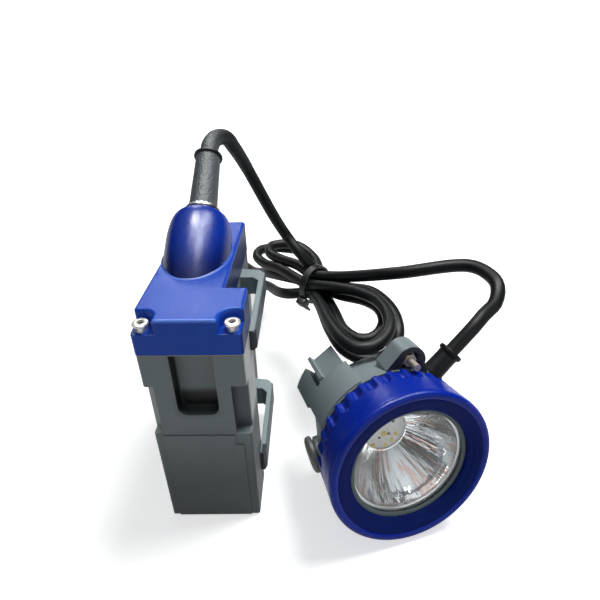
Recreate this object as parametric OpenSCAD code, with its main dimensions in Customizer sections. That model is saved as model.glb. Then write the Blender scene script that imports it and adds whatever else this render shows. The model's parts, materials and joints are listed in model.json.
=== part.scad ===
// Miner's cap lamp: a belt battery, a cable tied in a hank, and a headlamp.
// Origin: centre of the battery lid's bounding rectangle, on the floor.
// X runs to the right, Y to the back, Z up. Sizes in mm, angles in degrees.
// Headlamp modules are drawn with z forward out of the lens, then placed.

/* [Battery] */
// Height of the case below the lid
case_h = 90.5; // [86:0.5:96]
// Height of the lid's straight side
lid_h = 15; // [14:0.5:20]
// Width of the lid across its front part
lid_w = 39.5; // [38:0.5:46]
// Width of the lid across its narrow rear part
rear_w = 30.5; // [30:0.5:32]
// Depth of the lid, front to back
lid_d = 88; // [87:0.5:94]
// Depth of the wide front part
front_d = 23; // [21:0.5:26]
// How far the case sits inside the lid's outline
case_inset = 0.2; // [0.1:0.1:0.4]
// Radius of the upright outer corners
corner_r = 1.25; // [0.75:0.25:3]
// Side wall of the cell space
case_wall = 1.9; // [1.5:0.1:2]
// Thickness of the case floor
floor_t = 2.2; // [1.6:0.2:3]
// Bevel round the foot of the case
foot_bevel = 1; // [0.5:0.25:2]
// Width of the front pocket
pocket_w = 16; // [12:0.5:18]
// Height of the front pocket below the lid
pocket_h = 29; // [22:0.5:34]
// Depth of the front pocket
pocket_d = 5.4; // [3:0.2:5.4]
// Height of the recesses in the front corners
notch_h = 24.6; // [18:0.2:28]
// Depth of the recesses in the front corners
notch_d = 4.6; // [2:0.2:5]
// How far the lower front stands proud
step_out = 0.5; // [0.3:0.1:0.6]

/* [Lid] */
// Wall of the lid
lid_wall = 2; // [1.6:0.1:2.4]
// Thickness of the lid gasket
gasket_t = 0.5; // [0.4:0.1:0.8]
// Bevel round the top of the lid
lid_bevel = 1.2; // [0.6:0.2:1.6]
// Radius of the screw scoops
scoop_r = 4.6; // [4:0.2:5]
// Depth of the screw scoops
scoop_depth = 6; // [5:0.5:7]
// Radius of the dome where it meets the lid
dome_r = 14.2; // [13.6:0.1:14.6]
// Lean of the cable outlet from the upright
relief_lean = 55; // [50:1:60]
// Height of the cable outlet's ring above the lid
outlet_z = 11.2; // [10.4:0.1:12.5]
// Distance of the outlet's ring behind the origin
outlet_y = 22.9; // [21.5:0.1:24.5]

/* [Belt loops] */
// Height of the upper loop
loop_top_h = 9.1; // [7:0.1:12]
// Height of the lower loop
loop_low_h = 11.2; // [7:0.1:14]
// Thickness of the loop bars
loop_t = 2.8; // [2.2:0.1:3.4]
// Distance of the bars' outer face from the wide part
loop_out = 2.95; // [2.8:0.05:5]
// How far the upper loop's top sits below the lid
loop_top_drop = 0.7; // [0.1:0.1:6]
// Where the lower loop's underside sits
loop_low_z = 10.6; // [6:0.2:30]

/* [Cells] */
// Diameter of a wrapped cell
cell_d = 26.2; // [26:0.1:26.2]
// Length of a cell
cell_len = 65.2; // [64:0.2:66]
// Thickness of the protection board
board_t = 1.6; // [1:0.2:2]
// Height of the protection board
board_h = 62; // [50:1:66]

/* [Cable] */
// Diameter of the cable
cable_d = 6.6; // [6:0.1:6.8]
// Diameter of the relief tube at its root
relief_root_d = 12.8; // [12.2:0.1:13]
// Diameter of the relief tube at its top
relief_top_d = 11.4; // [11:0.1:12]
// Length of the relief tube
relief_len = 32.8; // [30:0.1:35]
// Diameter of the relief collar
collar_d = 13.5; // [13:0.1:15]
// Diameter of the tapering sleeve at the collar
sleeve_d = 8.6; // [8:0.1:9.6]
// Width of the tie round the hank
tie_w = 4.6; // [3.6:0.2:6]

/* [Headlamp] */
// Largest radius of the bezel
bezel_r = 35.5; // [35:0.1:35.9]
// Depth of the bezel behind its widest line
bezel_depth = 20.2; // [19:0.2:20.4]
// Radius of the lens opening
opening_r = 25.8; // [24:0.2:26.4]
// Number of grip flutes round the bezel
flute_count = 32; // [20:1:36]
// Depth of the grip flutes
flute_depth = 0.9; // [0.5:0.1:1.2]
// Thickness of the lens
lens_t = 3; // [2:0.25:3.5]
// Radius of the hole at the reflector's base
reflector_hole_r = 9.8; // [8.5:0.1:10.4]
// Radius of the housing behind the bezel
housing_front_r = 33.1; // [32.6:0.1:33.2]
// Radius of the housing at its rear face
housing_rear_r = 27.1; // [26:0.1:27.6]
// Wall of the housing
housing_wall = 2.6; // [2.2:0.1:3]
// Backward tilt of the headlamp
lamp_pitch = 10; // [9:0.5:11]
// Turn of the headlamp to the right
lamp_yaw = 17; // [16:0.5:18]
// Position of the headlamp to the right
lamp_x = 84; // [83.4:0.1:85.4]
// Position of the headlamp to the back
lamp_y = -49.7; // [-52:0.1:-49]

/* [Headlamp fittings] */
// Outer radius of the lug's eye
lug_r = 6.8; // [6.2:0.1:7.4]
// Radius of the lug's counterbore
lug_bore_r = 4.5; // [4:0.1:5]
// Thickness of the lug
lug_t = 11; // [9:0.5:12]
// Radius of the charging stud
stud_r = 1.5; // [1.2:0.1:2]
// Radius of the cable boot
boot_r = 4.7; // [4.4:0.1:5.2]
// Radius of the cable boot's flange
boot_flange_r = 5.7; // [5.4:0.1:6.5]
// Length of the helmet clip behind the housing
clip_len = 11.5; // [10:0.5:14]
// Width of the slot under the helmet clip's rail
clip_slot = 3.2; // [2.4:0.1:3.4]

/* [Switch] */
// Radius of the switch knob
knob_r = 8.1; // [7.4:0.1:8.2]
// Thickness of the switch knob
knob_t = 3.1; // [2.6:0.1:4.4]
// Radius of the switch shaft
shaft_r = 2; // [1.5:0.1:2.4]

/* [Fits] */
// Radial clearance round the switch shaft
shaft_gap = 0.06; // [0.04:0.01:0.1]
// Gap between the knob and its seal
knob_gap = 0.35; // [0.3:0.05:0.6]
// Gap between the cells and the case
cell_gap = 0.05; // [0.04:0.01:0.07]
// Radial clearance between bezel and housing neck
thread_gap = 0.1; // [0.05:0.05:0.2]
// Clearance round the relief tube in the dome
relief_gap = 0.1; // [0.05:0.05:0.2]

/* [Hidden] */
$fn = 64;
far = 200;
lid_z = case_h + gasket_t;
lid_top = lid_z + lid_h;
lid_x0 = -lid_w / 2;
lid_y0 = -lid_d / 2;
rear_x1 = lid_x0 + rear_w;
// cell row
cell_x = lid_x0 + case_inset + case_wall + cell_gap + cell_d / 2;
cell_back = lid_d / 2 - case_inset - case_wall - cell_gap;
cell_ys = [cell_back - cell_d / 2, cell_back - 1.5 * cell_d, cell_back - 2.5 * cell_d];
cell_z = floor_t + 1;
cell_corner_r = 3;
cell_top = cell_z + cell_len;
bay_w = 8.6;
bay_x = cell_x + cell_d / 2 + cell_gap;
bay_y0 = cell_back - 3 * cell_d + 1;
bay_d = front_d - case_wall - 8;
board_off = 5;
// front face details
front_y = lid_y0 + case_inset;
notch_top = case_h - 14.5;
panel_x = -1.1;
panel_w = 29.2;
step_z = notch_top - notch_h - 0.8;
screw_x = lid_w / 2 - 3.5;
screw_y = lid_y0 + 3.1;
scoop_z = lid_top - scoop_depth;
head_r = 3.1;
head_t = 1.4;
head_drop = 2.4;
// cable outlet axis
out_dir = [0, sin(relief_lean), cos(relief_lean)];
out_x = rear_x1 - rear_w / 2 - 0.6;
out_o = [out_x, outlet_y, lid_top + outlet_z];
collar_t = 1.4;
loop_len = 45;
loop_root = 8.5;
relief_end = out_o + out_dir * (relief_len + collar_t);
// headlamp, standing on the rear edge of its bezel
bezel_foot_r = bezel_r - 1.3;
lamp_z = bezel_foot_r * cos(lamp_pitch) + bezel_depth * sin(lamp_pitch);
neck_r = 31.4;
neck_z = -7;
housing_len = 47.4;
cone_z0 = -housing_len + 2;
cone_z1 = -bezel_depth - 0.4;
boot_a = 42;
boot_z = -29.6;
boot_in = 23.8;
boot_seat = 32.6;
boot_end = 46.8;
knob_a = 189;
knob_z = -28.7;
knob_seat = 31.8;
seal_t = 0.4;
board_z = -29.6;
led_board_t = 1.6;
led_top = board_z + led_board_t;
led_board_r = 13.2;
main_led_at = [-0.6, -2];
aux_led_at = [[0, -8.1], [3.2, -6.5], [5.2, -3.5], [-5.9, -6.7]];
resistor_at = [[-2.9, -3.6], [-2.9, 2.1], [1.7, -2.6], [4, 3.5]];
sink_r = 19.8;
sink_t = 4;
lead_hole = 14.8;
lug_a = 73.5;
lug_rho = 36.5;
lug_z = -21.7;
pad_a0 = 112;
pad_a1 = 158;
pad_r = 33.6;
clip_z = -housing_len + 7;
clip_screw_as = [128, 148];
clip_flat_a = 124;
clip_ridge_a = 135;
flute_a = 131.3;
flute_r = 2.6;

// ---------- shared shapes ----------

// box with rounded upright corners, from a low corner
module rbox(x, y, z, w, d, h, r) {
    translate([x, y, z])
        linear_extrude(h)
            union() {
                translate([r, 0]) square([w - 2 * r, d]);
                translate([0, r]) square([w, d - 2 * r]);
                for (i = [r, w - r])
                    for (j = [r, d - r])
                        translate([i, j]) circle(r);
            }
}

// the battery's L-shaped plan, drawn in by a margin
module ell(z, h, m, r) {
    rbox(lid_x0 + m, lid_y0 + m, z, lid_w - 2 * m, front_d - 2 * m, h, r);
    rbox(lid_x0 + m, lid_y0 + m, z, rear_w - 2 * m, lid_d - 2 * m, h, r);
}

// three-sided bar used to bevel a straight edge running along x
module bevel_x(x, y, z, len, s) {
    translate([x, y, z]) rotate([0, 90, 0])
        linear_extrude(len) polygon([[-s, 0], [0, -s], [s, 0], [0, s]]);
}

module bevel_y(x, y, z, len, s) {
    translate([x, y, z]) rotate([-90, 0, 0])
        linear_extrude(len) polygon([[-s, 0], [0, -s], [s, 0], [0, s]]);
}

module place_outlet() {
    translate(out_o) rotate([-relief_lean, 0, 0]) children();
}

module place_lamp() {
    translate([lamp_x, lamp_y, lamp_z]) rotate([90 - lamp_pitch, 0, lamp_yaw]) children();
}

// a piece turned so that its z points outward at an angle round the lamp
module radial(a, z) {
    rotate([0, 0, a]) translate([0, 0, z]) rotate([0, 90, 0]) children();
}

module ring(r_in, r_out, z, h) {
    translate([0, 0, z])
        difference() {
            cylinder(r = r_out, h = h);
            translate([0, 0, -1]) cylinder(r = r_in, h = h + 2);
        }
}

// part of a ring between two angles less than 180 apart
module arc_band(r_in, r_out, a0, a1, z, h) {
    translate([0, 0, z])
        linear_extrude(h)
            intersection() {
                difference() {
                    circle(r_out);
                    circle(r_in);
                }
                polygon([[0, 0], 60 * [cos(a0), sin(a0)],
                    80 * [cos((a0 + a1) / 2), sin((a0 + a1) / 2)], 60 * [cos(a1), sin(a1)]]);
            }
}

// ---------- battery ----------

module battery_case() color([0.33, 0.36, 0.36]) {
    difference() {
        union() {
            ell(0, case_h, case_inset, corner_r);
            // lower front stands proud, with a lower shoulder on the right
            translate([lid_x0 + 3.7, front_y - step_out, foot_bevel])
                cube([lid_w / 2 + 9.1, step_out + 1, step_z - foot_bevel]);
            translate([0, front_y - step_out, foot_bevel])
                cube([lid_w / 2 - 3.7, step_out + 1, step_z - foot_bevel - 5.3]);
        }
        // cell space
        rbox(cell_x - cell_d / 2 - cell_gap, cell_ys[2] - cell_d / 2 - cell_gap, floor_t,
            cell_d + 2 * cell_gap, 3 * cell_d + 2 * cell_gap, far, cell_corner_r);
        // bay for the board
        translate([bay_x - 1, bay_y0, floor_t]) cube([bay_w + 1, bay_d, far]);
        // front pocket, open under the lid
        translate([0, front_y + pocket_d, case_h - pocket_h])
            rotate([90, 0, 0]) linear_extrude(pocket_d + 3) union() {
                translate([-pocket_w / 2, 4]) square([pocket_w, pocket_h]);
                translate([-pocket_w / 2 + 4, 0]) square([pocket_w - 8, pocket_h]);
                for (i = [-1, 1]) translate([i * (pocket_w / 2 - 4), 4]) circle(4);
            }
        // corner recesses
        for (i = [-1, 1])
            translate([panel_x + i * (panel_w / 2 + 10) - 10, front_y - 10, notch_top - notch_h])
                cube([20, 10 + notch_d, notch_h]);
        // holes for the inserts
        for (i = [-1, 1])
            translate([i * screw_x, screw_y, case_h - 6]) cylinder(r = 2, h = 10);
        for (i = [-1, 1])
            translate([i * screw_x, screw_y, case_h - 9]) cylinder(r = 1.6, h = 10);
        // tongue slot at the back
        translate([out_x - 6.1, lid_d / 2 - case_inset - 1.3, case_h - 4]) cube([12.2, 0.7, 8]);
        // bevel round the foot
        bevel_x(lid_x0 - 5, front_y, 0, lid_w + 10, foot_bevel);
        bevel_x(lid_x0 - 5, -front_y, 0, lid_w + 10, foot_bevel);
        bevel_y(lid_x0 + case_inset, lid_y0 - 5, 0, lid_d + 10, foot_bevel);
        bevel_y(rear_x1 - case_inset, lid_y0 + front_d, 0, lid_d, foot_bevel);
    }
}

// straight part of the lid, bevelled round its top
module lid_block() {
    difference() {
        ell(lid_z, lid_h, 0, corner_r + case_inset);
        bevel_x(lid_x0 - 5, lid_y0, lid_top, lid_w + 10, lid_bevel);
        bevel_x(lid_x0 - 5, -lid_y0, lid_top, lid_w + 10, lid_bevel);
        bevel_y(lid_x0, lid_y0 - 5, lid_top, lid_d + 10, lid_bevel);
        bevel_y(lid_x0 + lid_w, lid_y0 - 5, lid_top, front_d + 10, lid_bevel);
        bevel_y(rear_x1, lid_y0 + front_d, lid_top, lid_d, lid_bevel);
    }
}

module battery_lid() color([0.13, 0.28, 0.72]) {
    difference() {
        union() {
            lid_block();
            dome_outer();
            // tongue that hooks into the back of the case
            translate([out_x - 6, lid_d / 2 - case_inset - 1.25, case_h - 3.5]) cube([12, 0.6, 6]);
        }
        // hollow of the straight part
        rbox(lid_x0 + lid_wall, screw_y + scoop_r + 1, lid_z - 1,
            rear_w - 2 * lid_wall, lid_d / 2 - lid_wall - screw_y - scoop_r - 1,
            lid_h - lid_wall + 1, cell_corner_r);
        // hollow of the dome
        intersection() {
            place_outlet() translate([0, 0, -24]) cylinder(r = dome_r - 5.1, h = 20);
            translate([-far, -far, lid_z]) cube(2 * far);
        }
        // bore for the relief tube
        place_outlet() translate([0, 0, -8])
            cylinder(r = relief_root_d / 2 + relief_gap, h = 20);
        // scoops and screw holes
        for (i = [-1, 1])
            translate([i * screw_x, screw_y, 0]) {
                translate([0, 0, scoop_z]) cylinder(r = scoop_r, h = far);
                translate([i * 0.5 - 4.6 + i * 4.6, -far, scoop_z]) cube([9.2, far, far]);
                translate([0, 0, lid_z - 1]) cylinder(r = 1.8, h = far);
            }
    }
}

// the dome is a leaning round body cut off by the lid, with a skirt below it
module dome_outer() {
    intersection() {
        place_outlet() rotate_extrude()
            polygon([[0, -46], [dome_r - 3.4, -46], [dome_r - 1.2, -36], [dome_r - 0.3, -28],
                [dome_r, -22], [dome_r, -15], [dome_r - 0.2, -11], [dome_r - 0.5, -8],
                [dome_r - 1, -5.4], [dome_r - 1.6, -3.4], [dome_r - 2.5, -1.7],
                [dome_r - 3.5, -0.6], [dome_r - 4.7, 0], [0, 0]]);
        translate([-far, lid_y0 + 4, lid_top - lid_wall]) cube([2 * far, lid_d - 8, far]);
    }
    intersection() {
        union() {
            translate([out_x, outlet_y - 1, lid_top - 1]) cylinder(r = dome_r - 5.3, h = 16);
            translate([out_x, outlet_y - 9, lid_top - 1]) cylinder(r = dome_r - 1.5, h = 16);
        }
        place_outlet() translate([-20, 0, -40]) cube([40, 40, 40]);
    }
}

module lid_gasket() color([0.72, 0.66, 0.52]) {
    difference() {
        ell(case_h, gasket_t, case_inset, corner_r);
        rbox(lid_x0 + case_inset + case_wall, cell_ys[2] - cell_d / 2, case_h - 1,
            rear_w - 2 * case_inset - 2 * case_wall, cell_back - cell_ys[2] + cell_d / 2,
            gasket_t + 2, cell_corner_r);
        for (i = [-1, 1])
            translate([i * screw_x, screw_y, case_h - 1]) cylinder(r = 1.8, h = 4);
        // slot for the lid's tongue
        translate([out_x - 6.1, lid_d / 2 - case_inset - 1.3, case_h - 1]) cube([12.2, 0.7, 3]);
    }
}

module lid_screws() color([0.8, 0.8, 0.8]) {
    for (i = [-1, 1])
        translate([i * screw_x, screw_y, 0])
            difference() {
                union() {
                    translate([0, 0, lid_top - head_drop - head_t])
                        cylinder(r = head_r, h = head_t);
                    translate([0, 0, scoop_z])
                        cylinder(r = 2.3, h = scoop_depth - head_t - head_drop);
                    translate([0, 0, case_h - 8]) cylinder(r = 1.5, h = scoop_z - case_h + 8);
                }
                translate([0, 0, lid_top - head_drop - head_t + 0.3])
                    cylinder(r = 1.45, h = 4, $fn = 6);
            }
}

module threaded_inserts() color([0.75, 0.6, 0.28]) {
    for (i = [-1, 1])
        translate([i * screw_x, screw_y, 0]) ring(1.5, 2, case_h - 6, 6);
}

// a belt loop in plan: front end on the wide part, bar, root on the narrow part
module loop_plan() {
    x0 = lid_x0 + lid_w - case_inset;
    x1 = lid_x0 + lid_w + loop_out - 0.6;
    xn = rear_x1 - case_inset;
    yf = lid_y0 + front_d;
    yb = yf + loop_len;
    polygon([[x0, yf - 7], [x1 - 1, yf - 7], [x1, yf - 5], [x1, yb - 5], [x1 - 3, yb - 1.5],
        [xn, yb], [xn, yb - loop_root], [x1 - 5.5, yb - loop_root],
        [x1 - loop_t, yb - loop_root - 3], [x1 - loop_t, yf], [x0, yf]]);
}

module belt_loop_upper() color([0.6, 0.64, 0.66]) {
    translate([0, 0, case_h - loop_top_drop - loop_top_h]) linear_extrude(loop_top_h) loop_plan();
}

module belt_loop_lower() color([0.6, 0.64, 0.66]) {
    translate([0, 0, loop_low_z]) linear_extrude(loop_low_h) loop_plan();
}

contact_r = 4;
contact_h = 0.8;
cell_pad_t = 4;
module battery_cells() color([0.2, 0.42, 0.3]) {
    for (y = cell_ys)
        translate([cell_x, y, cell_z]) {
            cylinder(r = cell_d / 2 - 0.02, h = cell_len);
            translate([0, 0, cell_len - 0.01]) cylinder(r = contact_r, h = contact_h);
        }
}

module cell_cradle() color([0.15, 0.15, 0.16]) {
    difference() {
        rbox(cell_x - cell_d / 2 + 0.2, cell_ys[2] - cell_d / 2 + 0.2, floor_t,
            cell_d - 0.4, 3 * cell_d - 0.4, 1, cell_corner_r);
        for (y = cell_ys)
            translate([cell_x, y, floor_t - 1]) cylinder(r = 8, h = 4);
    }
}

// strips on the cells' contacts, and their tab to the board, clear of the leads
strip_w = 8;
strip_t = 0.3;
strip_z = cell_top + contact_h - 0.01;
strip_tab_w = 4.8;
pad_gap = 0.1;
module cell_pad() color([0.86, 0.84, 0.78]) {
    difference() {
        rbox(cell_x - cell_d / 2 + 0.2, cell_ys[2] - cell_d / 2 + 0.2, strip_z + strip_t + pad_gap,
            cell_d - 0.4, 3 * cell_d - 0.4, cell_pad_t, cell_corner_r);
        translate([cell_x - strip_w / 2, cell_ys[0] - strip_w / 2, cell_top])
            cube([strip_w, strip_w, 2 * cell_pad_t]);
    }
}

module nickel_strips() color([0.78, 0.76, 0.7]) {
    translate([cell_x - strip_w / 2, cell_ys[2] - strip_w / 2, strip_z])
        cube([strip_w, 2 * cell_d + strip_w, strip_t]);
    translate([cell_x + 3, bay_y0 + bay_d - strip_tab_w - 0.5, strip_z])
        cube([cell_d / 2 + 1.6, strip_tab_w, strip_t]);
}

module protection_board() color([0.1, 0.35, 0.2]) {
    translate([bay_x + board_off, bay_y0 + 0.5, cell_z])
        cube([board_t, bay_d - 1, board_h]);
}

// chips and resistors in two rows up the board
chip_size = [1.2, 5, 6];
chip_pitch = 10;
chip_z = cell_z + 0.17 * board_h;
resistor_size = [0.8, 1.6, 3.2];
resistor_pitch = 8;
resistor_z = cell_z + 0.14 * board_h;
module board_parts() color([0.12, 0.12, 0.13]) {
    bx = bay_x + board_off;
    for (i = [0:2])
        translate([bx - chip_size[0], bay_y0 + 3, chip_z + i * chip_pitch]) cube(chip_size);
    for (i = [0:4])
        translate([bx - resistor_size[0], bay_y0 + 9.6, resistor_z + i * resistor_pitch])
            cube(resistor_size);
}

// two leads from the board up into the foot of the relief tube
lead_r = 0.9;
lead_x = bay_x + board_off - lead_r - 0.1;
function along_outlet(t, x) = out_o + t * out_dir + [x, 0, 0];
lead_a = [[lead_x, bay_y0 + 2.6, cell_z + board_h - 4], [lead_x, bay_y0 + 3, cell_top + 5],
    [11, -29, lid_z - 8.5], [6, -25, lid_z - 0.5], [3, -17, lid_z + 5.5], [0, -6, lid_z + 9],
    [-2.2, 4, lid_z + 11], along_outlet(-15.6, 1.8), along_outlet(-9.6, 1.6),
    along_outlet(-3, 1.6)];
lead_b = [[lead_x, bay_y0 + 6, cell_z + board_h - 4], [lead_x, bay_y0 + 6.4, cell_top + 5],
    [9.5, -25.5, lid_z - 7.5], [3.5, -21, lid_z - 1.5], [0, -13, lid_z + 3.5], [-3, -2, lid_z + 6.5],
    [-5.2, 5, lid_z + 9.5], along_outlet(-15.6, -1), along_outlet(-9.6, -1),
    along_outlet(-3, -1)];
module battery_leads() color([0.7, 0.12, 0.1]) {
    tube(round_path(lead_a, 3), lead_r, 8);
    tube(round_path(lead_b, 3), lead_r, 8);
}

// ---------- cable outlet ----------

module outlet_ring() color([0.08, 0.08, 0.09]) {
    place_outlet() ring(relief_root_d / 2 + relief_gap, dome_r - 5.5, 0, 2);
}

module crimp_ring() color([0.75, 0.75, 0.76]) {
    place_outlet()
        difference() {
            ring(relief_root_d / 2 + relief_gap, relief_root_d / 2 + 1.3, 2, 1.6);
            for (i = [0:11])
                rotate([0, 0, i * 30]) translate([relief_root_d / 2 + 1.5, 0, 2.6])
                    cylinder(r = 0.7, h = 3, $fn = 16);
        }
}

module cable_relief() color([0.25, 0.27, 0.28]) {
    place_outlet()
        difference() {
            union() {
                translate([0, 0, -6]) cylinder(r = relief_root_d / 2, h = 10);
                translate([0, 0, 4])
                    cylinder(r1 = relief_root_d / 2, r2 = relief_top_d / 2, h = relief_len - 4);
                translate([0, 0, relief_len]) cylinder(r = collar_d / 2, h = collar_t);
            }
            translate([0, 0, -7]) cylinder(r = cable_d / 2, h = relief_len + collar_t + 8);
        }
}

// ---------- cable ----------

function unit(v) = v / norm(v);
function dirs(p, n) = [for (i = [0:n - 1]) unit(i == 0 ? p[1] - p[0]
    : i == n - 1 ? p[n - 1] - p[n - 2] : unit(p[i + 1] - p[i]) + unit(p[i] - p[i - 1]))];
function frames(t, i, r, out) = i == len(t) ? out
    : let (q = unit(r - (r * t[i]) * t[i])) frames(t, i + 1, q, concat(out, [q]));
function mid(p, i, n) = let (a = p[max(i - 1, 0)], b = p[i], c = p[i + 1], d = p[min(i + 2, n - 1)])
    (9 * (b + c) - (a + d)) / 16;
// one more point is put between each pair where the path bends
function round_path(p, k) = k <= 1 ? p
    : let (n = len(p)) [for (i = [0:n - 2]) each [p[i], mid(p, i, n)], p[n - 1]];

// a tube along a path; its radius is one number, or one for each point
module tube(p, r, sides) {
    n = len(p);
    t = dirs(p, n);
    f = frames(t, 0, abs(t[0][2]) > 0.8 ? [1, 0, 0] : [0, 0, 1], []);
    pts = [for (i = [0:n - 1]) let (u = f[i], w = cross(t[i], u))
        for (j = [0:sides - 1]) p[i]
            + (is_list(r) ? r[i] : r) * (cos(j * 360 / sides) * u + sin(j * 360 / sides) * w)];
    walls = [for (i = [0:n - 2]) for (j = [0:sides - 1])
        let (a = i * sides + j, b = i * sides + (j + 1) % sides)
        each [[a, b, a + sides], [b, b + sides, a + sides]]];
    polyhedron(concat([p[0]], pts, [p[n - 1]]), concat(
        [for (j = [0:sides - 1]) [0, 1 + (j + 1) % sides, 1 + j]],
        [for (w = walls) [w[0] + 1, w[1] + 1, w[2] + 1]],
        [for (j = [0:sides - 1]) let (e = n * sides + 1, s = (n - 1) * sides + 1)
            [e, s + j, s + (j + 1) % sides]]));
}

// the tie holds seven strands, six of them round a middle one
tie_at = [45, 76, 51];
tie_turn = 50;
tie_t = 1.1;
tie_slack = 0.9;
strand_gap = cable_d + 0.2;
function in_tie(a, r = strand_gap) =
    tie_at + r * [cos(a) * cos(tie_turn), cos(a) * sin(tie_turn), sin(a)];

// hank points in order from the battery to the headlamp
hank_points = [
    // down from the relief to the tie
    [1, 69, 141], [4, 73, 135], [8, 78, 125], [21, 87, 92], [28, 91, 77], [36, 85, 68], in_tie(35),
    // first right-hand loop, outermost
    [64, 63, 56], [76, 55, 58], [83, 40, 60], [87, 29, 58], [87, 18, 55], [84, 12, 50],
    [78, 11, 45], [69, 12, 44], [60, 17, 46], [54, 31, 47], [49, 56, 46], in_tie(275),
    // outer left-hand loop
    [48, 112, 42], [44, 131, 42], [37, 138, 43], [27, 138, 45], [16, 138, 46], [7, 133, 47],
    [5, 123, 47], [10, 113, 47], [23, 96, 51], in_tie(155),
    // second right-hand loop, on top
    [57, 56, 60], [69, 46, 63], [77, 37, 64], [81, 22, 66], [81, 10, 66], [78, 2, 65],
    [72, -4, 64], [65, -4, 63], [59, 3, 62], [53, 20, 60], [47, 51, 54], in_tie(215),
    // fold that lies on the floor behind the battery
    [27, 80, 42], [6, 141, 14], [-8, 158, 6], [-21, 166, 3.4], [-38, 169, 3.4], [-48, 184, 3.4],
    [-38, 199, 3.4], [-20, 195, 4], [-6, 173, 9], [15, 110, 40], in_tie(0, 0),
    // third right-hand loop, innermost
    [60, 58, 54], [73, 52, 54], [80, 44, 54], [82, 33, 53], [79, 25, 51], [74, 22, 49],
    [68, 23, 48], [61, 32, 47], [56, 51, 47], in_tie(335),
    // inner left-hand loop
    [48, 97, 49], [44, 117, 49], [34, 128, 52], [23, 130, 53], [15, 126, 53], [15, 115, 53],
    [23, 104, 54], [34, 92, 56], in_tie(95),
    // arch across to the headlamp
    [57, 67, 61], [71, 55, 68], [90, 40, 78], [121, 30, 87], [128, 20, 87.5],
    [129.5, 11, 86], [127, 4.5, 81], [122, 2, 76.5]];

// where the cable leaves the boot, and its way out
boot_dir = let (a = boot_a, p = lamp_pitch, y = lamp_yaw, u = sin(a) * sin(p))
    [cos(y) * cos(a) - sin(y) * u, sin(y) * cos(a) + cos(y) * u, sin(a) * cos(p)];
lamp_fwd = [sin(lamp_yaw) * cos(lamp_pitch), -cos(lamp_yaw) * cos(lamp_pitch), sin(lamp_pitch)];
boot_mouth = [lamp_x, lamp_y, lamp_z] + boot_z * lamp_fwd + boot_end * boot_dir;
cable_points = concat(
    [relief_end - out_dir * 4, relief_end, relief_end + out_dir * 7 + [0.5, 0, 0],
        relief_end + [2.5, 12.4, 5.7]],
    hank_points,
    [boot_mouth + boot_dir * 14, boot_mouth + boot_dir * 6, boot_mouth]);

module cable() color([0.07, 0.07, 0.08]) {
    tube(cable_points, cable_d / 2, 8);
}

// the sleeve follows the cable's first points and thins down to it
sleeve_taper = [1, 1, 0.95, 0.75, 0.55, 0.35, 0.05];
module relief_sleeve() color([0.3, 0.32, 0.33]) {
    thick = (sleeve_d - cable_d) / 2;
    tube([for (i = [0:6]) cable_points[i + 1]], [for (t = sleeve_taper) cable_d / 2 + t * thick], 16);
}

// a flat band round the strands, with its lock and tail
module cable_tie() color([0.06, 0.06, 0.07]) {
    r = strand_gap + cable_d / 2 + tie_slack;
    translate(tie_at) rotate([0, 0, tie_turn]) rotate([90, 0, 0]) {
        ring(r, r + tie_t, -tie_w / 2, tie_w);
        rotate([0, 0, 215]) {
            translate([r + tie_t - 0.2, -3, -tie_w / 2 - 0.7]) cube([4, 6, tie_w + 1.4]);
            translate([r + tie_t + 1.4, 2, -tie_w / 2]) cube([1.1, 7, tie_w]);
        }
    }
}

// ---------- headlamp ----------

// the outer cone of the housing, which the lug and the clip sit on
module housing_cone() {
    rotate_extrude($fn = 96)
        polygon([[0, -housing_len], [housing_rear_r - 2, -housing_len],
            [housing_rear_r, cone_z0], [housing_front_r, cone_z1], [0, cone_z1]]);
}

module lamp_housing() color([0.48, 0.53, 0.55]) {
    place_lamp() difference() {
        union() {
            housing_cone();
            translate([0, 0, cone_z1 - 0.1])
                cylinder(r = neck_r, h = neck_z - cone_z1 + 0.1, $fn = 96);
            // raised pad under the helmet clip
            arc_band(24.7, pad_r, pad_a0, pad_a1, clip_z, -clip_z - bezel_depth - 1.6);
            // boss for the switch
            radial(knob_a, knob_z)
                translate([0, 0, 26]) cylinder(r = knob_r - 1, h = knob_seat - 26);
            // boss for the cable boot
            radial(boot_a, boot_z)
                translate([0, 0, boot_in]) cylinder(r = boot_r + 1.4, h = boot_seat - boot_in);
        }
        rotate_extrude($fn = 96)
            polygon([[0, -housing_len + housing_wall],
                [housing_rear_r - 1.5 - housing_wall, -housing_len + housing_wall],
                [neck_r - 2.2, -24], [neck_r - 2.2, 5], [0, 5]]);
        // hole for the switch shaft, and a flat round it for the knob
        radial(knob_a, knob_z) {
            cylinder(r = shaft_r + shaft_gap, h = 60);
            translate([0, 0, knob_seat]) cylinder(r = knob_r + 0.6, h = 10);
        }
        // hole for the cable boot
        radial(boot_a, boot_z) translate([0, 0, 20]) cylinder(r = boot_r, h = 40);
        // screw holes for the helmet clip
        for (a = clip_screw_as)
            rotate([0, 0, a]) translate([24, 0, -housing_len - 1]) cylinder(r = 1.25, h = 6);
    }
}

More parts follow.
